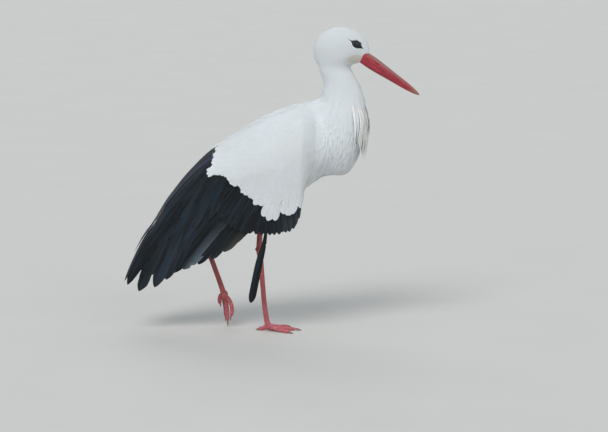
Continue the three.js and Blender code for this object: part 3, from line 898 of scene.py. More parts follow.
def addBlades(name, corners, marks, kinds, patches, form, plumage, nodes=()):
    # kinds: tones, lengths in mm and shades; patches: (u, v, width, height) of each feather on the map
    count, size = corners.shape[:2]
    rings = form["body"] + form["end"]
    around = (size - 1) // rings
    k = np.arange(around)
    after = (k + 1) % around
    start = np.arange(rings - 1)[:, None] * around
    bands = np.stack([start + k, start + after, start + around + after, start + around + k], axis=-1)
    last = (rings - 1) * around
    fan = np.stack([last + k, last + after, np.full(around, size - 1)], axis=-1)
    loops = np.concatenate([bands.ravel(), fan.ravel(), k[::-1]])
    totals = np.concatenate([np.full(bands.size // 4, 4), np.full(around, 3), [around]])
    starts = np.concatenate([[0], np.cumsum(totals)[:-1]])
    every = (loops + np.arange(count)[:, None] * size).ravel()
    mesh = bpy.data.meshes.new(name)
    mesh.vertices.add(count * size)
    mesh.vertices.foreach_set("co", corners.ravel())
    mesh.loops.add(len(every))
    mesh.loops.foreach_set("vertex_index", every)
    mesh.polygons.add(count * len(totals))
    mesh.polygons.foreach_set("loop_start", (starts + np.arange(count)[:, None] * len(loops)).ravel())
    mesh.update(calc_edges=True)
    across = patches[:, None, 0] + patches[:, None, 2] * marks[..., 2] / 2
    upward = patches[:, None, 1] + patches[:, None, 3] * (marks[..., 1] - 0.5)
    uv = np.stack([across, upward], axis=-1).reshape(-1, 2)[every]
    mesh.uv_layers.new(name="OFBake").uv.foreach_set("vector", uv.ravel())
    kinds = np.stack(np.broadcast_arrays(*kinds), axis=-1)
    kinds = np.repeat(kinds[:, None], size, axis=1)
    marks[..., 1] *= kinds[..., 1]
    for label, values in (("vane", marks), ("kind", kinds)):
        attribute = mesh.attributes.new(label, "FLOAT_VECTOR", "POINT")
        attribute.data.foreach_set("vector", values.ravel())
    piece = bpy.data.objects.new(name, mesh)
    bpy.context.scene.collection.objects.link(piece)
    finished(piece, *plumage, nodes, 50)
    triangles = count * (2 * bands.size // 4 + around + around - 2)
    print(name, count, "feathers", triangles, "triangles")


def axesAlong(spine, over):
    # along, across and over at each ring, from the shafts and the way out from the body
    steps = spine[:, 1:] - spine[:, :-1]
    along = steps.copy()
    along[:, 1:] += steps[:, :-1]
    along = unit(along)
    across = unit(np.cross(along, over))
    return along, across, np.cross(across, along)


def fitted(values):
    low, high = values.min(), values.max()
    return 0.004 + 0.992 * (values - low) / max(high - low, 1e-9)


def smallPatches(u, v):
    size = 0.003
    return np.stack(np.broadcast_arrays(fitted(u), fitted(v), size, size), axis=-1)


def stripPatches(count):
    # large feathers lie side by side on the map, in the order of their roots
    u = (np.arange(count) + 0.5) / count
    return np.stack(np.broadcast_arrays(u, 0.5, 0.92 / count, 0.96), axis=-1)


def featherFinish(name, constants):
    finish = Finish(name, constants)
    vane = finish.node("Attribute", {"attribute_name": "vane"}, {}, "Vector")
    kind = finish.node("Attribute", {"attribute_name": "kind"}, {}, "Vector")
    finish.across, finish.run, finish.share = finish.split(vane)
    finish.tone, finish.length, finish.shadeOf = finish.split(kind)
    # barbs slant ahead from the shaft
    slant = finish.run - abs(finish.across) * 0.9
    own = finish.tone * 40
    lines = finish.node("CombineXYZ", {}, {0: slant * 1.5, 1: finish.across * 0.12, 2: own})
    finish.barbs = finish.noise(1, 3, place=lines)
    return finish


def whiteFinish():
    finish = featherFinish("white_plumage", {
        "Roughness": 0.8, "Sheen Weight": 0.2, "Specular IOR Level": 0.2, "Subsurface Weight": 0.4,
        "Subsurface Radius": (0.004, 0.0038, 0.0036), "Subsurface Scale": 1.0,
    })
    cloud = finish.noise(14, 3)
    warm = finish.mix(cloud.stepped(0.4, 0.75) * 0.5, shade(244, 248, 250), shade(238, 239, 235))
    toned = finish.mix(finish.tone * 0.3, warm, shade(230, 237, 242))
    streak = finish.barbs.stepped(0.35, 0.75)
    soiled = finish.mix(finish.shadeOf, toned, shade(222, 208, 190))
    finish.set({
        "Base Color": finish.mix(streak * 0.1, soiled, shade(206, 214, 220)),
        "Normal": finish.bump(finish.barbs, 0.0003, 0.5),
    })
    return finish


def blackFinish():
    finish = featherFinish("black_plumage", {"Specular IOR Level": 0.22})
    streak = finish.barbs.stepped(0.3, 0.75)
    own = finish.tone * 37 + finish.length
    lengthwise = finish.node("CombineXYZ", {}, {0: finish.run * 0.014, 1: finish.across * 0.07, 2: own})
    # bands along each feather where a painted blue sheen lies, stronger on feathers of high tone
    cloud = finish.noise(1, 2, place=lengthwise).stepped(0.38, 0.66)
    dark = finish.mix(streak * 0.5, shade(6, 9, 12), shade(18, 24, 30))
    blue = finish.mix(cloud * (finish.tone * 0.9 + 0.35), dark, shade(24, 40, 51))
    # feathers of high tone get a painted purple sheen as well
    paintedSheen = finish.mix(finish.tone.stepped(0.6, 1.0) * (cloud * 0.5 + 0.5), blue, shade(50, 44, 66))
    paleTone = finish.mix(streak * 0.5 + 0.25, shade(70, 84, 94), shade(116, 128, 136))
    paleTone = finish.mix(1 - finish.tone.stepped(0.01, 0.06), paleTone, shade(92, 88, 82))
    # the shade tells how far a feather's vanes have silvered, most of all towards their edges
    edge = abs(finish.share).stepped(0.3, 1.0)
    rim = abs(finish.share).stepped(0.88, 0.99) * 0.2
    # a paler grey line along each shaft: a painted highlight on the glossy shaft
    quill = 1 - abs(finish.across).stepped(0.4, 1.0)
    outer = (finish.run / finish.length).stepped(0.3, 0.85)
    lower = (finish.share * -1).stepped(-0.7, 0.9)
    silver = finish.shadeOf * (edge * 0.3 + lower * 0.7) * (outer * 0.75 + 0.25) + rim
    vaned = finish.mix(silver, paintedSheen, paleTone)
    finish.set({
        "Base Color": finish.mix(quill * 0.2, vaned, shade(58, 58, 60)),
        "Roughness": streak * 0.14 + 0.42,
        "Normal": finish.bump(finish.barbs, 0.0005, 0.7),
    })
    return finish


# finish and slot of each plumage
white = (whiteFinish(), "white_feather")
black = (blackFinish(), "black_feather")

# wings
# A wing is a curved shell. A place on it is (x, q, out): x along the body in mm, q how far round
# from the crest of the back, a quarter turn to the wing's edge and on from there, out in mm.
backLine = through([
    (-380, 118), (-352, 184), (-326, 236), (-305, 264), (-287, 292), (-265, 328), (-247, 352),
    (-222, 384), (-193, 416), (-161, 447), (-141, 462), (-117, 475), (-86, 495), (-56, 514),
    (-25, 532), (12, 549), (51, 564), (77, 570), (109, 580), (150, 599),
])
wingDrop = through([
    (-380, 26), (-300, 40), (-200, 62), (-150, 72), (-100, 84), (-50, 102), (0, 117), (50, 118),
    (100, 110), (150, 104),
])
wingHalfWidth = through([
    (-380, 30), (-350, 36), (-300, 46), (-250, 56), (-200, 67), (-150, 79), (-100, 90), (-50, 99),
    (0, 105), (50, 105), (100, 97), (150, 84),
])
quarter = math.pi / 2
crestGap = 0.2  # how far each wing keeps from the midline, mm
wingFront = {  # where it goes down into the coat
    "from": 0.07,  # m
    "sunk": 0.4,  # how deep, in coat depths
    "out": 9,  # how far out its middle layer is, mm
    "x": (72, 128), "crest": (15, 60), "atCrest": (24, 8),  # along x, across y, and later there, mm
}


def onWing(side, places):
    x, q, out = np.moveaxis(places, -1, 0)
    turn = np.clip(q, -quarter, quarter)
    beyond = np.maximum(q - quarter, 0)
    wide = wingHalfWidth(x)
    drop = wingDrop(x)
    normal = unit(np.stack([np.sin(turn) / wide, np.cos(turn) / drop], axis=-1))
    y = wide * np.sin(turn) * (1 - 0.1 * beyond) + normal[..., 0] * out
    y = y + crestGap * np.clip(q * 20, -1, 1)
    z = backLine(x) - drop * (1 - np.cos(turn) + beyond) + normal[..., 1] * out
    return (np.stack([x, y * side, z], axis=-1) + middle) * mm


def roundFrom(x, z):
    # how far round the wing the height z is, from the side
    share = (backLine(x) - z) / wingDrop(x)
    return np.where(share < 1, np.arccos(np.clip(1 - share, -1, 1)), quarter + share - 1)


def wingAxes(side, spine):
    # the same three axes as on the body, in the wing's own coordinates
    here = spine[:, :-1]
    byX = (onWing(side, here + (0.5, 0, 0)) - onWing(side, here - (0.5, 0, 0))) / mm
    byQ = (onWing(side, here + (0, 0.005, 0)) - onWing(side, here - (0, 0.005, 0))) / mm * 100
    along, across, over = axesAlong(onWing(side, spine), unit(np.cross(byX, byQ)) * side)
    xx, xq, qq = dot(byX, byX), dot(byX, byQ), dot(byQ, byQ)

    def flat(heading):
        onX, onQ = dot(byX, heading), dot(byQ, heading)
        spread = xx * qq - xq * xq
        ways = [(qq * onX - xq * onQ) / spread, (xx * onQ - xq * onX) / spread, np.zeros_like(xx)]
        return np.concatenate(ways, axis=-1)

    return flat(along), flat(across), np.broadcast_to((0.0, 0.0, 1.0), over.shape)


# roots and tips of the feathers that bound each tract, as (x, z) from the side; None is the crest
tracts = {
    "scapulars": [
        ((124, None), (-128, None)), ((132, 556), (-143, 458)), ((136, 524), (-146, 440)),
        ((134, 500), (-160, 410)), ((124, 474), (-128, 421)),
    ],
    "wing_coverts": [
        ((127, 484), (115, 390)), ((112, 483), (100, 356)), ((92, 480), (71, 337)),
        ((66, 474), (38, 315)), ((36, 468), (0, 305)), ((8, 462), (-32, 338)),
        ((-22, 455), (-66, 366)), ((-58, 447), (-102, 392)), ((-118, 432), (-132, 412)),
    ],
}


def tractPlace(name, b, a):
    # (x, z) in a tract: b counts through its rows, a runs from the roots to the tips
    rows = np.array([[(x, -1 if z is None else z) for x, z in row] for row in tracts[name]], float)
    crest = backLine(rows[..., 0])
    rows[..., 1] = np.where(rows[..., 1] < 0, crest - 0.5, rows[..., 1])
    shares = (crest - rows[..., 1]) / wingDrop(rows[..., 0])
    i = np.clip(np.floor(b).astype(int), 0, len(rows) - 2)
    t = b - i

    def between(values):
        root = values[i, 0] * (1 - t) + values[i + 1, 0] * t
        tip = values[i, 1] * (1 - t) + values[i + 1, 1] * t
        return partWay(root, tip, a)

    x, straight = between(rows[..., 0]), between(rows[..., 1])
    bent = backLine(x) - wingDrop(x) * np.maximum(between(shares), 0)
    own = np.clip(b, 0, 1) if tracts[name][0][0][1] is None else 1.0
    return x, bent + (straight - bent) * own


def evenRows(name, span, count, a=0.7):
    # values of b between the two in span that lie evenly spaced round the wing
    fine = np.linspace(*span, 200)
    x, z = tractPlace(name, fine, a)
    points = onWing(1, np.stack([x, roundFrom(x, z), np.full(200, 5.0)], axis=-1))
    steps = np.linalg.norm(np.diff(points, axis=0), axis=1)
    return np.interp(np.linspace(0, steps.sum(), count), np.concatenate([[0], np.cumsum(steps)]), fine)


def settled(side, corners):
    # places on the wing, whose front goes down into the coat of the neck and breast
    points = onWing(side, corners)
    front = points[..., 0] > wingFront["from"]
    if not front.any():
        return points
    base = onWing(side, corners[front] * (1, 1, 0) + (0, 0, wingFront["out"]))
    place, found = nearest(base)
    out = guide["normals"][found]
    height = dot(base - place, out)[:, 0] - coatDepth(place) * wingFront["sunk"]
    crest = 1 - smoothstep(np.abs(base[:, 1]) / mm, *wingFront["crest"])
    start, end = [x + later * crest for x, later in zip(wingFront["x"], wingFront["atCrest"])]
    sunk = smoothstep(base[:, 0] / mm, start, end)
    points[front] -= out * (height * sunk)[:, None]
    return points


def wingFeathers(side, x, z, layer, widths, t, form, rng):
    # corners of feathers whose shafts run through x and z, seen from the side
    loosened = rng.uniform(0, form["loose"], (len(x), 1)) * t
    out = layer + 0.3 + form["rise"] * (t - 0.12 * t**4) + loosened
    spine = np.stack([x, roundFrom(x, z), out], axis=-1)
    widths = frayed(widths, form, rng)
    splits = rng.random(widths.shape) < form["splits"]
    widths = np.where(splits, widths * rng.uniform(0.72, 0.9, widths.shape), widths)
    if side > 0:
        widths = widths[..., ::-1]
    corners, marks = blades(spine, wingAxes(side, spine), widths, t, form, form["tilt"] * side)
    return settled(side, corners), marks, spine[:, 0]


def swayed(x, z, sway):
    # bends shafts sideways by a share of their length
    return x - (z[:, -1:] - z[:, :1]) * sway, z + (x[:, -1:] - x[:, :1]) * sway


covertForm = {
    "body": 4, "end": 3, "blunt": 3.4, "last": 76, "point": 1.2, "root": 0.5, "swell": 0.4,
    "sweep": 0.5, "camber": 0.07, "tilt": 0.0, "columns": (-1, 0, 1), "thick": 0.26, "shaft": 0,
    "rise": 3.4, "loose": 0.35, "fray": 0.08, "splits": 0,
}
# length and half width of the tract's first and last feathers, mm; gap is the step along in lengths;
# in the rows below the first value of short, feathers end at its second, a share of the way
whiteTracts = {
    "scapulars": {
        "long": (34, 86), "half": (3.4, 6.4), "gap": 0.15, "columns": 46, "span": (0.0, 4.0),
        "short": (0, 1),
    },
    "wing_coverts": {
        "long": (30, 74), "half": (3.4, 6.2), "gap": 0.16, "columns": 60, "span": (0.0, 8.0),
        "short": (5.2, 0.87),
    },
}
whiteLayers = {"coverts": 10.6, "edges": 9.8, "mantle": 12.2}  # how far out on the wing, mm


def coursesOf(name, plan, rng):
    # row, first and last share, length and half width of feathers, one column after the other
    found = []
    for column, b in enumerate(evenRows(name, plan["span"], plan["columns"])):
        x, z = tractPlace(name, np.array([b, b]), np.array([0, 1]))
        whole = math.hypot(x[1] - x[0], z[1] - z[0])
        limit = plan["short"][1] if b < plan["short"][0] else 1.0
        a = limit - (column % 2) * 0.5 * plan["gap"] * plan["long"][1] / whole
        a -= 9 / whole
        while a > 0.04:
            grown = a**1.3
            long = partWay(*plan["long"], grown)
            half = partWay(*plan["half"], grown)
            end = min(a + rng.normal(0, 2.8) / whole, limit - 6 / whole)
            found.append((b, end - long / whole, end, long, half * rng.uniform(0.85, 1.15)))
            a -= plan["gap"] * long / whole
    return np.array(found).T


def addWhiteTract(name, side, label, seed):
    rng = np.random.default_rng(seed)
    b, first, last, lengths, halfWidths = coursesOf(name, whiteTracts[name], rng)
    t, widths = stationsOf(covertForm, lengths, halfWidths)
    x, z = tractPlace(name, b[:, None], partWay(first[:, None], last[:, None], t))
    x, z = swayed(x, z, rng.normal(0, 0.05, (len(b), 1)) * t)
    layer = whiteLayers["coverts"]
    corners, marks, places = wingFeathers(side, x, z, layer, widths, t, covertForm, rng)
    kinds = (rng.random(len(b)), lengths, rng.random(len(b)) ** 8 * 0.1)
    patches = smallPatches(places[:, 0], places[:, 1])
    node = f"{name}_{label}"
    addBlades(node + "_vanes", corners, marks, kinds, patches, covertForm, white, [node])


# the lobes that hang at the edge of the white: root, tip as (x, z) and half width, mm
lobes = [
    ((14, 446), (-32, 337), 17), ((36, 424), (-3, 299), 20), ((68, 424), (44, 311), 19),
    ((92, 434), (77, 330), 13), ((108, 446), (99, 356), 10), ((120, 456), (114, 388), 8),
    ((-20, 440), (-66, 366), 13), ((-52, 432), (-98, 391), 12), ((-98, 447), (-158, 408), 8),
    ((-86, 472), (-143, 445), 7), ((-76, 496), (-128, 475), 6),
]
lobeForm = {
    **covertForm, "body": 7, "end": 6, "blunt": 1.9, "point": 1.1, "root": 0.6, "camber": 0.12,
    "columns": (-1, -0.5, 0, 0.5, 1), "rise": 2.4, "loose": 1.2, "fray": 0.05,
}
edges = {
    "rows": (("scapulars", 24, (0.0, 4.0)), ("wing_coverts", 20, (5.2, 8.0))),  # tract, count, span
    "back": (0, 7, 15),  # how far behind the edge each row's tips lie, mm
    "long": (60, 80), "half": (6, 10),  # mm
    "lobeRows": ((0, 0.55), (6, 0.6), (14, 0.62)),  # likewise, and the spread in half widths
}


def addEdges(side, label):
    # broad round feathers: rows along the edges of the white, then those of each lobe
    rng = np.random.default_rng(90)
    found = []
    for name, count, span in edges["rows"]:
        for back in edges["back"]:
            b = evenRows(name, span, count) + rng.normal(0, 0.03, count)
            rootX, rootZ = tractPlace(name, b, np.zeros(count))
            x, z = tractPlace(name, b, np.ones(count))
            whole = np.hypot(x - rootX, z - rootZ)
            ragged = 3 + 3 * np.sin(b * 5.3 + back) + rng.uniform(0, 5, count)
            last = 1 - (back + ragged) / whole
            first = last - rng.uniform(*edges["long"], count) / whole
            ends = (*tractPlace(name, b, first), *tractPlace(name, b, last))
            found.extend(zip(*ends, rng.uniform(*edges["half"], count)))
    for root, tip, half in lobes:
        run = unit(np.array(tip, float) - root)
        across = np.array([-run[1], run[0]])
        for back, spread in edges["lobeRows"]:
            for step in rng.permutation([-1.0, -0.5, 0.0, 0.5, 1.0]) * spread:
                hollow = half * 0.9 * step**2 + back + rng.uniform(-1, 2)
                end = tip + across * half * step - run * hollow
                found.append((*(root + across * half * 0.5 * step), *end, half * rng.uniform(0.4, 0.5)))
    rootX, rootZ, tipX, tipZ, halfWidths = np.array(found).T
    lengths = np.hypot(tipX - rootX, tipZ - rootZ)
    t, widths = stationsOf(lobeForm, lengths, halfWidths)
    x = partWay(rootX[:, None], tipX[:, None], t)
    z = partWay(rootZ[:, None], tipZ[:, None], t)
    x, z = swayed(x, z, rng.normal(0, 0.03, (len(found), 1)) * t)
    z = np.minimum(z, backLine(x) - 0.2)
    layer = whiteLayers["edges"]
    corners, marks, _ = wingFeathers(side, x, z, layer, widths, t, lobeForm, rng)
    kinds = (rng.random(len(found)), lengths, 0)
    addBlades(f"covert_edge_{label}", corners, marks, kinds, stripPatches(len(found)), lobeForm, white)


flightForm = {
    "body": 34, "end": 9, "blunt": 3.4, "last": 80, "point": 1.4, "root": 0.3, "swell": 0.22,
    "sweep": 0.5, "camber": 0.22, "tilt": 0.1, "columns": (-1, -0.55, -0.06, 0, 0.06, 0.55, 1),
    "thick": 0.7, "shaft": 0.5, "rise": 1.2, "loose": 0.2, "fray": 0.012, "splits": 0.02,
}
blackCovertForm = {
    **flightForm, "camber": 0.12, "tilt": 0.05, "shaft": 0.25, "fray": 0.03, "splits": 0.05,
}
# each tract's place out on the wing, mm, and its feathers from the top down: root x, z and tip x, z
# from the side, where None is the crest, then half width, lift, how grey, how much painted purple and
# blue sheen, and the bend upwards as a share of its length, where None lets it run with the crest
blackTracts = {
    "tertials": (7.0, [
        (-84, None, -288, None, 14, 1.6, 0.22, 0.2, None),
        (-92, 482, -318, None, 14, 1.2, 0.18, 0.5, None),
        (-104, 470, -347, None, 13, 0.9, 0.16, 1.0, None),
        (-104, 462, -372, 126, 14, 0.2, 0.0, 0.2, None),
        (-98, 468, -338, 196, 14, 0.6, 0.0, 0.6, None),
        (-102, 459, -362, 144, 14, 0.1, 0.0, 0.2, None),
        (-104, 446, -364, 124, 14, -0.1, 0.0, 0.1, None),
        (-108, 440, -346, 150, 14, -0.4, 0.0, 0.1, None),
        (-120, 452, -334, 106, 15, 0.9, 0.1, 0.1, 0.055),
        (-114, 446, -296, 118, 17, 1.3, 0.14, 0.5, 0.04),
        (-106, 438, -266, 138, 15, 0.5, 0.1, 0.7, 0.03),
        (-98, 430, -248, 160, 13, 0.0, 0.04, 0.4, 0.02),
        (-120, 448, -226, 300, 13, 0.9, 0.16, 0.1, 0.03),
        (-108, 430, -194, 274, 13, 1.0, 0.14, 0.2, 0.02),
        (-92, 424, -158, 300, 13, 1.2, 0.06, 0.5, 0.02),
    ]),
    "secondaries": (3.9, [
        (-92, 430, -316, 142, 16, 0.6, 0.03, 0.2, 0.04),
        (-72, 408, -274, 146, 16, 0.4, 0.05, 0.3, 0.02),
        (-58, 388, -248, 156, 15, 0.0, 0.0, 0.2, 0.02),
        (-46, 368, -222, 166, 20, 0.9, 0.9, 0.1, 0.02),
        (-34, 352, -192, 188, 13, 0.0, 0.05, 0.3, 0.02),
    ]),
    "primaries": (0.8, [
        (-52, 372, -204, 194, 13, 0.4, 0.0, 0.2, 0.02),
        (-44, 362, -182, 178, 13, 0.2, 0.0, 0.3, 0.02),
        (-28, 344, -150, 192, 12, 0.0, 0.12, 0.2, 0.02),
        (-8, 330, -118, 214, 12, 0.6, 0.6, 0.0, 0.02),
        (0, 326, -98, 232, 10, 0.2, 0.4, 0.0, 0.02),
        (8, 322, -66, 262, 11, 0.0, 0.1, 0.2, 0.02),
    ]),
    "primary_coverts": (7.4, [
        (-56, 400, -132, 300, 12, 1.2, 0.06, 0.4, 0.02),
        (-44, 392, -110, 288, 13, 0.9, 0.02, 0.4, 0.02),
        (-32, 384, -88, 268, 14, 0.6, 0.0, 0.3, 0.02),
        (-20, 376, -62, 261, 15, 0.5, 0.02, 0.5, 0.02),
        (-6, 368, -36, 260, 15, 0.4, 0.0, 0.3, 0.02),
        (6, 362, -10, 261, 15, 0.3, 0.02, 0.2, 0.02),
        (18, 358, 12, 263, 14, 0.2, 0.0, 0.2, 0.02),
        (34, 356, 34, 263, 14, 0.2, 0.25, 0.3, 0.02),
        (46, 358, 52, 268, 13, 0.1, 0.3, 0.4, 0.02),
        (58, 362, 66, 284, 12, 0.1, 0.3, 0.3, 0.02),
        (72, 372, 78, 310, 12, 0.0, 0.25, 0.3, 0.02),
        (84, 392, 88, 345, 11, 0.0, 0.2, 0.3, 0.02),
    ]),
}


def addBlackTract(name, side, label, seed):
    layer, feathers = blackTracts[name]
    form = blackCovertForm if name == "primary_coverts" else flightForm
    rng = np.random.default_rng(seed)
    table = np.array([[math.nan if cell is None else cell for cell in row] for row in feathers], float)
    if name == "primary_coverts":
        # one more feather between each two, a little lower
        between = (table[1:] + table[:-1]) / 2 - (0, 0, 0, 0, 0, 0.3, 0, 0, 0)
        order = np.argsort(np.concatenate([np.arange(len(table)), np.arange(len(between)) + 0.5]))
        table = np.concatenate([table, between])[order]
        table[:, 4] += 1
        table[:, 2:4] += rng.normal(0, (2.0, 2.2), (len(table), 2))
    rootX, rootZ, tipX, tipZ, halfWidths, lift, grey, sheenTone, bend = np.split(table, 9, axis=1)
    rootZ = np.where(np.isnan(rootZ), backLine(rootX) - 1, rootZ)
    tipZ = np.where(np.isnan(tipZ), backLine(tipX) - 1, tipZ)
    lengths = np.hypot(tipX - rootX, tipZ - rootZ)[:, 0]
    t, widths = stationsOf(form, lengths, halfWidths[:, 0])
    x = partWay(rootX, tipX, t)
    # on the crest the feathers run round the wing, and one wing lies over the other
    withCrest = np.isnan(bend)
    rootShare = (backLine(rootX) - rootZ) / wingDrop(rootX)
    tipShare = (backLine(tipX) - tipZ) / wingDrop(tipX)
    bent = backLine(x) - wingDrop(x) * partWay(rootShare, tipShare, t)
    lift = lift + np.where(withCrest & (side < 0), 1.5, 0)
    z = np.where(withCrest, bent, partWay(rootZ, tipZ, t))
    sway = rng.normal(0, 0.006, (len(table), 1)) * t - bend * np.sin(t * math.pi)
    x, z = swayed(x, z, np.where(withCrest, 0, sway))
    z = np.minimum(z, backLine(x) - 0.2)
    corners, marks, _ = wingFeathers(side, x, z, layer + lift, widths, t, form, rng)
    kinds = (sheenTone[:, 0], lengths, grey[:, 0])
    patches = stripPatches(len(table))
    node = f"{name}_{label}"
    addBlades(node + "_vanes", corners, marks, kinds, patches, form, black, [node])


# the black wing's down: how deep it lies, its thickness, ends along x, top and lower edge, mm
blackDown = {
    "out": -4.5, "thick": 1.0, "x": (-345, 84), "top": 436,
    "edge": through([
        (-345, 170), (-320, 156), (-300, 154), (-270, 168), (-240, 188), (-200, 214), (-150, 232),
        (-100, 264), (-60, 292), (0, 292), (50, 302), (84, 352),
    ]),
}


def addBlackDown(side, label):
    # a dark sheet below the black feathers, so that nothing shows between them
    def place(u, v):
        x = partWay(*blackDown["x"], v)
        share = 1 - np.abs(2 * u - 1)
        top = roundFrom(x, np.minimum(backLine(x) - 0.5, blackDown["top"]))
        q = partWay(top, roundFrom(x, np.minimum(blackDown["edge"](x), backLine(x) - 1)), share)
        swell = np.sqrt(np.maximum(1 - np.abs(2 * share - 1) ** 6, 0))
        swell = swell * np.minimum(np.minimum(v, 1 - v) * 12, 1)
        out = blackDown["out"] + blackDown["thick"] * swell * np.where(u < 0.5, 0.5, -0.5)
        return onWing(side, np.stack([x, q, out], axis=-1))

    finished(shapedGrid(f"black_down_{label}", 48, 90, place), *black, [])


# rows round the back, ends along x, then length and half width at the front with their growth a mm
mantle = {"rows": 7, "round": 0.17, "x": (150, -96), "long": (26, 0.13), "half": (3.8, 0.012)}


def addMantle():
    # the feathers on the midline, over the edges of both wings
    rng = np.random.default_rng(5)
    front, rear = mantle["x"]
    found = []
    for column, q in enumerate(np.linspace(-mantle["round"], mantle["round"], mantle["rows"])):
        x = front - (column % 3) * 3
        while x > rear:
            long = mantle["long"][0] + (front - x) * mantle["long"][1]
            half = mantle["half"][0] + (front - x) * mantle["half"][1]
            found.append((x, q + rng.normal(0, 0.028), long, half))
            x -= long * rng.uniform(0.14, 0.24)
    x, q, lengths, halfWidths = np.array(found).T
    t, widths = stationsOf(covertForm, lengths, halfWidths)
    run = x[:, None] - lengths[:, None] * t
    out = whiteLayers["mantle"] + covertForm["rise"] * t
    spine = np.stack([run, q[:, None] * (1 + 0.3 * t), out], axis=-1)
    corners, marks = blades(spine, wingAxes(1, spine), widths[..., None], t, covertForm)
    kinds = (rng.random(len(x)), lengths, 0)
    addBlades("mantle_vanes", settled(1, corners), marks, kinds, smallPatches(x, q), covertForm, white)


for side, label in ((-1, "right"), (1, "left")):
    for number, name in enumerate(whiteTracts):
        addWhiteTract(name, side, label, 10 + number + side)
    for number, name in enumerate(blackTracts):
        addBlackTract(name, side, label, 40 + number * 3 + side)
    addEdges(side, label)
    addBlackDown(side, label)
addMantle()
print("wings")


# coat on the skin
def scatter(wanted, gaps, seed):
    # places on the skin's wanted faces, no two nearer than the gap there, mm
    rng = np.random.default_rng(seed)
    chance = guide["areas"] * wanted / (gaps * mm) ** 2
    number = int(chance.sum() * 2.2)
    faces = rng.choice(len(chance), number, p=chance / chance.sum())
    one, two = np.sqrt(rng.random(number)), rng.random(number)
    weights = np.stack([1 - one, one * (1 - two), one * two], axis=-1)
    points = (guide["sides"][faces] * weights[..., None]).sum(axis=1)
    tree = KDTree(number)
    for index, point in enumerate(points.tolist()):
        tree.insert(point, index)
    tree.balance()
    free = np.ones(number, bool)
    reach = (gaps[faces] * mm).tolist()
    for index, point in enumerate(points.tolist()):
        if free[index]:
            for _, other, _ in tree.find_range(point, reach[index]):
                free[other] = other == index
    return faces[free], points[free]


def laid(faces, points, lengths, halfWidths, form, rng):
    # feathers that follow the skin from their roots, rising through the depth of the coat
    t, widths = stationsOf(form, lengths, halfWidths)
    normals = guide["normals"][faces]
    stray = rng.normal(0, form["stray"], (len(faces), 1))
    heading = unit(guide["flow"][faces] + np.cross(normals, guide["flow"][faces]) * stray)
    depth = form["depth"] * rng.uniform(1 - form["loose"], 1 + form["loose"], len(faces))
    place = points
    spine, overs = [], []
    for ring in range(t.shape[1]):
        if ring:
            reach = (t[:, ring] - t[:, ring - 1]) * lengths * mm
            place, found = nearest(place + heading * reach[:, None])
            normals = guide["normals"][found]
            flow = guide["flow"][found]
            flow = flow + np.cross(normals, flow) * stray
            heading = heading * (1 - form["turn"]) + flow * form["turn"]
            heading = unit(heading - normals * dot(heading, normals))
        high = coatDepth(place) * depth * (t[:, ring] * (1.8 - 0.8 * t[:, ring])) - form["sink"] * mm
        spine.append((place + normals * high[:, None]) / mm)
        overs.append(normals)
    spine = np.stack(spine, axis=1)
    axes = axesAlong(spine, np.stack(overs[:-1], axis=1))
    corners, marks = blades(spine, axes, frayed(widths, form, rng), t, form)
    return corners * mm, marks


# above and behind which place the wings can hide the skin, how far slanted rays lean along the
# feathers, and how far off a wing may be, m
cover = {"above": 0.28, "behind": 0.095, "lean": 0.7, "reach": 0.09}


def underWings():
    # which faces of the skin the wings hide
    shells = []
    for name in (*whiteTracts, *blackTracts):
        for label in ("right", "left"):
            node = frame["nodes"][f"{name}_{label}"]
            corners = [node.matrix_world @ corner.co for corner in node.data.vertices]
            faces = [face.vertices[:] for face in node.data.polygons]
            shells.append(BVHTree.FromPolygons(corners, faces))
    centres = guide["sides"].mean(axis=1)
    hidden = np.zeros(len(centres), bool)
    possible = (centres[:, 2] > cover["above"]) & (centres[:, 0] < cover["behind"])
    for index in np.nonzero(possible)[0]:
        start, normal = Vector(centres[index]), Vector(guide["normals"][index])
        flow = Vector(guide["flow"][index]) * cover["lean"]
        rays = (normal, (normal + flow).normalized(), (normal - flow).normalized())
        hidden[index] = all(
            any(shell.ray_cast(start, ray, cover["reach"])[0] for shell in shells) for ray in rays
        )
    return hidden


tuftForm = {
    "body": 1, "end": 1, "blunt": 6, "last": 0, "point": 1, "root": 0.7, "swell": 0.3, "sweep": 0.3,
    "camber": 0.1, "columns": (-1, 0, 1), "thick": 0.16, "shaft": 0, "sink": 0.25, "stray": 0.1,
    "turn": 0.7, "depth": 1, "loose": 0.12, "fray": 0.1,
}
hackleForm = {**tuftForm, "body": 3, "camber": 0.08, "thick": 0.22, "stray": 0.12, "sink": 0.6}
downForm = {
    **tuftForm, "body": 3, "end": 2, "blunt": 2.6, "last": 55, "point": 1.3, "camber": 0.08,
    "columns": (-1, -0.5, 0, 0.5, 1), "thick": 0.3, "sink": 0.8,
}
# each part of the coat: where along the body line it lies, gap, length and half width, mm
coats = {
    "face_plumes": {
        "from": 0, "to": 46, "gap": 0.8, "long": [(0, 4.2), (46, 9)], "half": 0.64, "form": tuftForm,
    },
    "crown_plumes": {
        "from": 46, "to": 92, "gap": 1.1, "long": [(46, 9.5), (92, 18)], "half": 1.0, "form": tuftForm,
    },
    "nape_plumes": {
        "from": 92, "to": 150, "gap": 1.45, "long": [(92, 18), (150, 26)], "half": 1.3,
        "form": hackleForm,
    },
    "neck_plumes": {
        "from": 150, "to": 232, "gap": 1.9, "long": [(150, 26), (232, 40)], "half": 1.65,
        "form": hackleForm,
    },
    "breast_plumes": {
        "from": 232, "to": 340, "gap": 3.0, "long": [(232, 38), (340, 52)], "half": 2.7,
        "form": hackleForm,
    },
    "belly_plumes": {
        "from": 340, "to": 700, "gap": 4.6, "long": [(340, 50), (676, 40)], "half": 5, "form": downForm,
    },
}
thighPlan = {"gap": 2.3, "long": [(0, 19), (700, 19)], "half": 1.9, "form": hackleForm}


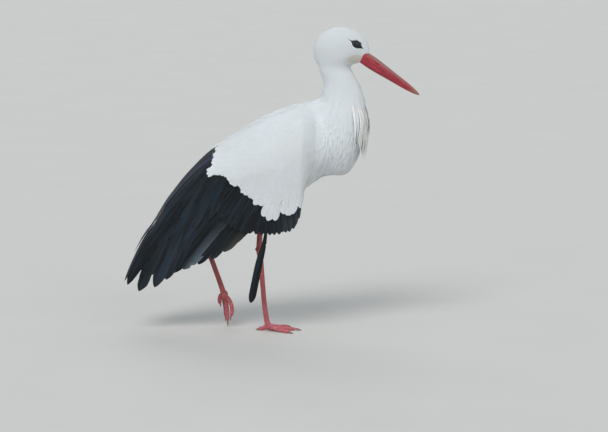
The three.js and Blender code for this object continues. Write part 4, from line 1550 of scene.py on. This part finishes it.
def addCoats():
    centres = guide["sides"].mean(axis=1)
    along, _ = alongBody(centres)
    seen = ~underWings()
    thigh = centres[:, 2] < thinPlumage["thighTop"][0] * mm
    for number, (name, plan) in enumerate(coats.items()):
        rng = np.random.default_rng(60 + number)
        wanted = (along >= plan["from"]) & (along < plan["to"]) & seen & ~thigh
        addCoat(name, wanted, along, plan, rng)
    addCoat("thigh_plumes", thigh & seen, along, thighPlan, rng)


def onEyePatch(points):
    # where the skin round the eye is bare
    x, _, z = (points - eyeCentre).T
    above, narrowing, tail, ending = roundEye(x, z, smoothstep)
    inside = above < narrowing * eyePatch["halfHeight"] * mm + tail + 0.3 * mm
    return inside & (ending < 1) & (np.abs(points[:, 1]) > 0.008)


def addCoat(name, wanted, along, plan, rng):
    faces, points = scatter(wanted, np.full(len(wanted), plan["gap"]), int(rng.integers(1000)))
    # the eye's black patch is bare and the cheek nearly so
    reach = guide["flow"][faces] * mm
    near, far = eyePatch["clear"]
    patch = onEyePatch(points + reach * near) | onEyePatch(points + reach * far)
    flat = (points[:, [0, 2]] - middle[[0, 2]] * mm) / mm - cheek["place"]
    onCheek = 1 - smoothstep(np.hypot(*(flat / cheek["reach"]).T), 0.6, 1.15)
    kept = ~patch & (rng.random(len(points)) > onCheek * cheek["thinner"])
    faces, points, onCheek = faces[kept], points[kept], onCheek[kept]
    v = along[faces]
    lengths = through(plan["long"])(v) * rng.uniform(0.85, 1.15, len(v))
    halfWidths = plan["half"] * rng.uniform(0.85, 1.15, len(v))
    corners, marks = laid(faces, points, lengths, halfWidths, plan["form"], rng)
    kinds = (rng.random(len(v)), lengths, onCheek * cheek["toned"])
    _, heading = alongBody(points)
    x, y, z = guide["normals"][faces].T
    around = np.arctan2(y, x * -heading[:, 2] + z * heading[:, 0])
    addBlades(name, corners, marks, kinds, smallPatches(around, v), plan["form"], white)


addCoats()
print("coat")


# ruff, tail and the slipped feather
# the neck's middle along x, half depth and half width, mm, by height
neckMiddle = through([
    (400, 172), (480, 176), (530, 180), (570, 178.5), (600, 184.5), (620, 186.5), (638, 182.5),
    (665, 168.5), (700, 158),
])
neckHalfDepth = through([
    (400, 50), (480, 66), (530, 67), (570, 67), (600, 57.5), (620, 51.5), (638, 49), (665, 49.5),
    (700, 52),
])
neckHalfWidth = through([
    (400, 50), (480, 66), (530, 61), (570, 50), (600, 41), (620, 36), (638, 34), (665, 32), (700, 30),
])
ruffForm = {
    **hackleForm, "body": 10, "end": 4, "blunt": 12, "last": 70, "point": 1.3, "root": 0.4,
    "sweep": 0.5, "columns": (-1, -0.5, 0, 0.5, 1), "thick": 0.3, "shaft": 0.1, "fray": 0.12,
}
ruff = {
    "count": 190, "spread": 62,  # plumes, and degrees to each side
    "tips": through([(-60, 478), (-40, 452), (-20, 426), (0, 456), (20, 430), (40, 448), (60, 476)]),
    "raised": 66,  # how much higher the tips of the lowest layer are, mm
    "long": (100, 140), "half": (1.4, 2.6),  # mm
    "top": 598,  # height of the highest roots, mm
    "lock": 8.5, "drawn": 0.62,  # degrees from lock to lock, and how far plumes are drawn into them
    "sunk": 8.5, "out": 7.9, "layers": 3.6,  # depth of the roots, way out from there, and layers', mm
    "neckEnd": 500,  # height below which they no longer follow the neck, mm
}


def addRuff():
    # long pointed feathers that hang clear of the breast below the bend of the neck
    rng = np.random.default_rng(21)
    count, spread = ruff["count"], ruff["spread"]
    angle = np.linspace(-spread, spread, count) + rng.uniform(-4, 4, count)
    layer = rng.random(count)
    tip = ruff["tips"](angle) + ruff["raised"] * (1 - layer) ** 1.3 + 30 * rng.random(count) ** 2
    top = np.minimum(tip + rng.uniform(*ruff["long"], count), ruff["top"] + 14 * layer)
    lengths = top - tip
    halfWidths = rng.uniform(*ruff["half"], count) + 2.2 * (1 - layer)
    t, widths = stationsOf(ruffForm, lengths, halfWidths)
    z = top[:, None] - lengths[:, None] * t
    # the plumes hang together in locks
    lock = np.round(angle / ruff["lock"])
    middles = lock * ruff["lock"] + rng.normal(0, 2.2, 40)[(lock + 20).astype(int)]
    drawn = (middles - angle) * ruff["drawn"]
    turn = np.radians(angle[:, None] * (1 - 0.06 * t) + drawn[:, None] * t**1.6)
    turn = turn + rng.normal(0, 0.03, (count, 1)) * t**2
    level = np.maximum(z, ruff["neckEnd"])
    layer = layer[:, None]
    rise = (layer * ruff["layers"] + ruff["out"]) * smoothstep(t, 0, 0.55)
    out = -ruff["sunk"] + rise + rng.uniform(-1.5, 2, (count, 1)) * t**3
    # they swell forward half way down and come back at their tips
    forward = np.sin(t * math.pi) * (2 + 4.5 * layer**2) - 4 * t**3
    out = out + forward * np.maximum(np.cos(turn), 0)
    deep = neckHalfDepth(level) + out
    wide = neckHalfWidth(level) + out
    x = neckMiddle(level) + deep * np.cos(turn)
    spine = np.stack([x, wide * np.sin(turn), z], axis=-1) + middle
    over = unit(np.stack([np.cos(turn) / deep, np.sin(turn) / wide, 0 * z], axis=-1))[:, :-1]
    corners, marks = blades(spine, axesAlong(spine, over), frayed(widths, ruffForm, rng), t, ruffForm)
    kinds = (rng.random(count), lengths, 0.12 + rng.random(count) ** 2 * 0.6)
    patches = stripPatches(count)
    addBlades("ruff_plumes", corners * mm, marks, kinds, patches, ruffForm, white, ["neck_ruff"])


tailForm = {
    **flightForm, "body": 16, "end": 8, "blunt": 1.3, "point": 1, "root": 0.5, "camber": 0.08,
    "thick": 0.9,
}
tailCoverForm = {**covertForm, "blunt": 2.4, "camber": 0.1}
# root and tip as (x, z), half width at the root and how much it spreads, how much shorter the outer
# feathers are, and how far they droop, mm
tail = {"root": (-176, 384), "tip": (-312, 176), "wide": (13, 9), "shorter": 10, "droop": 6}
tailRows = {  # where the first and the last feathers start, where they end, half width and lift, mm
    "tail_vanes": {"count": 12, "from": (0, 0), "half": 10.5, "lift": (0.5, 8.5)},
    "tail_coverts": {
        "count": 90, "from": (-0.12, 0.3), "to": (0.1, 0.55), "half": 6, "lift": (8, 11),
    },
    "under_tail_coverts": {
        "count": 90, "from": (-0.1, 0.4), "to": (0.12, 0.7), "half": 7, "lift": (-1, -7),
    },
}


def addTailRow(name, plan, rng):
    root, tip = np.array(tail["root"], float), np.array(tail["tip"], float)
    run = tip - root
    whole = np.linalg.norm(run)
    square = np.array([-run[1], 0, run[0]]) / whole  # the way that lift goes
    count = plan["count"]
    if "to" in plan:
        form, nodes = tailCoverForm, []
        share = rng.uniform(-1, 1, count)
        step = np.sort(rng.random(count))
        last = partWay(*plan["to"], step)
    else:
        form, nodes = tailForm, ["tail"]
        share = np.linspace(-1, 1, count)
        step = 1 - np.abs(share)
        last = 1 - tail["shorter"] * (1 - step) ** 2 / whole
    first = partWay(*plan["from"], step)
    lengths = (last - first) * whole
    t, widths = stationsOf(form, lengths, plan["half"] * rng.uniform(0.9, 1.1, count))
    patches = smallPatches(share, first) if "to" in plan else stripPatches(count)
    share = share[:, None]
    at = partWay(first[:, None], last[:, None], t)
    within = np.clip(at, 0, 1)
    base = partWay(*plan["lift"], step[:, None] * 0.8 + 0.2 * t)
    high = base * (1 - 0.55 * within) - tail["droop"] * share**2
    flat = root + run * at[..., None] + square[[0, 2]] * high[..., None]
    y = share * (tail["wide"][0] + tail["wide"][1] * within)
    spine = np.stack([flat[..., 0], y, flat[..., 1]], axis=-1) + middle
    over = square + share[..., None] * (0, 0.35, 0)
    over = np.repeat(over, t.shape[1] - 1, axis=1) * (1 if plan["lift"][0] >= 0 else -1)
    corners, marks = blades(spine, axesAlong(spine, unit(over)), widths[..., None], t, form)
    kinds = (rng.random(count), lengths, 0)
    addBlades(name, corners * mm, marks, kinds, patches, form, white, nodes)


def addTail():
    rng = np.random.default_rng(31)
    for name, plan in tailRows.items():
        addTailRow(name, plan, rng)


looseForm = {
    **flightForm, "body": 44, "end": 10, "blunt": 2.8, "point": 1.3, "root": 0.2, "swell": 0.55,
    "camber": 0.12, "thick": 0.9, "shaft": 0.9, "fray": 0.02, "splits": 0.03,
}
loose = {
    "quill": [(-7, -87, 286), (-14, -86, 240), (-28, -84, 186), (-49, -82, 84)],  # places, mm
    "half": 9.5, "vanes": (1.12, 0.88),  # half width, mm, and each vane's share of it
    "faces": (0.05, -1.0, 0.1),
}


def addLooseFeather():
    rng = np.random.default_rng(8)
    quill = np.array(loose["quill"], float)
    run = np.concatenate([[0], np.cumsum(np.linalg.norm(np.diff(quill, axis=0), axis=1))])
    lengths = run[-1:]
    t, widths = stationsOf(looseForm, lengths, np.array([loose["half"]]))
    places = [through(np.stack([run, values], axis=-1))(t * run[-1]) for values in quill.T]
    spine = np.stack(places, axis=-1) + middle
    over = np.tile(unit(np.array(loose["faces"])), (1, t.shape[1] - 1, 1))
    widths = widths[..., None] * np.array(loose["vanes"])
    splits = rng.random(widths.shape) < looseForm["splits"]
    widths = widths * (1 + looseForm["fray"] * rng.uniform(-1, 1, widths.shape))
    widths = widths * np.where(splits, 0.8, 1)
    corners, marks = blades(spine, axesAlong(spine, over), widths, t, looseForm)
    kinds = (0.2, lengths, 0)
    patches = stripPatches(1)
    addBlades("slipped_quill", corners * mm, marks, kinds, patches, looseForm, black, ["loose_feather"])


addRuff()
addTail()
addLooseFeather()
print("ruff, tail and slipped feather")
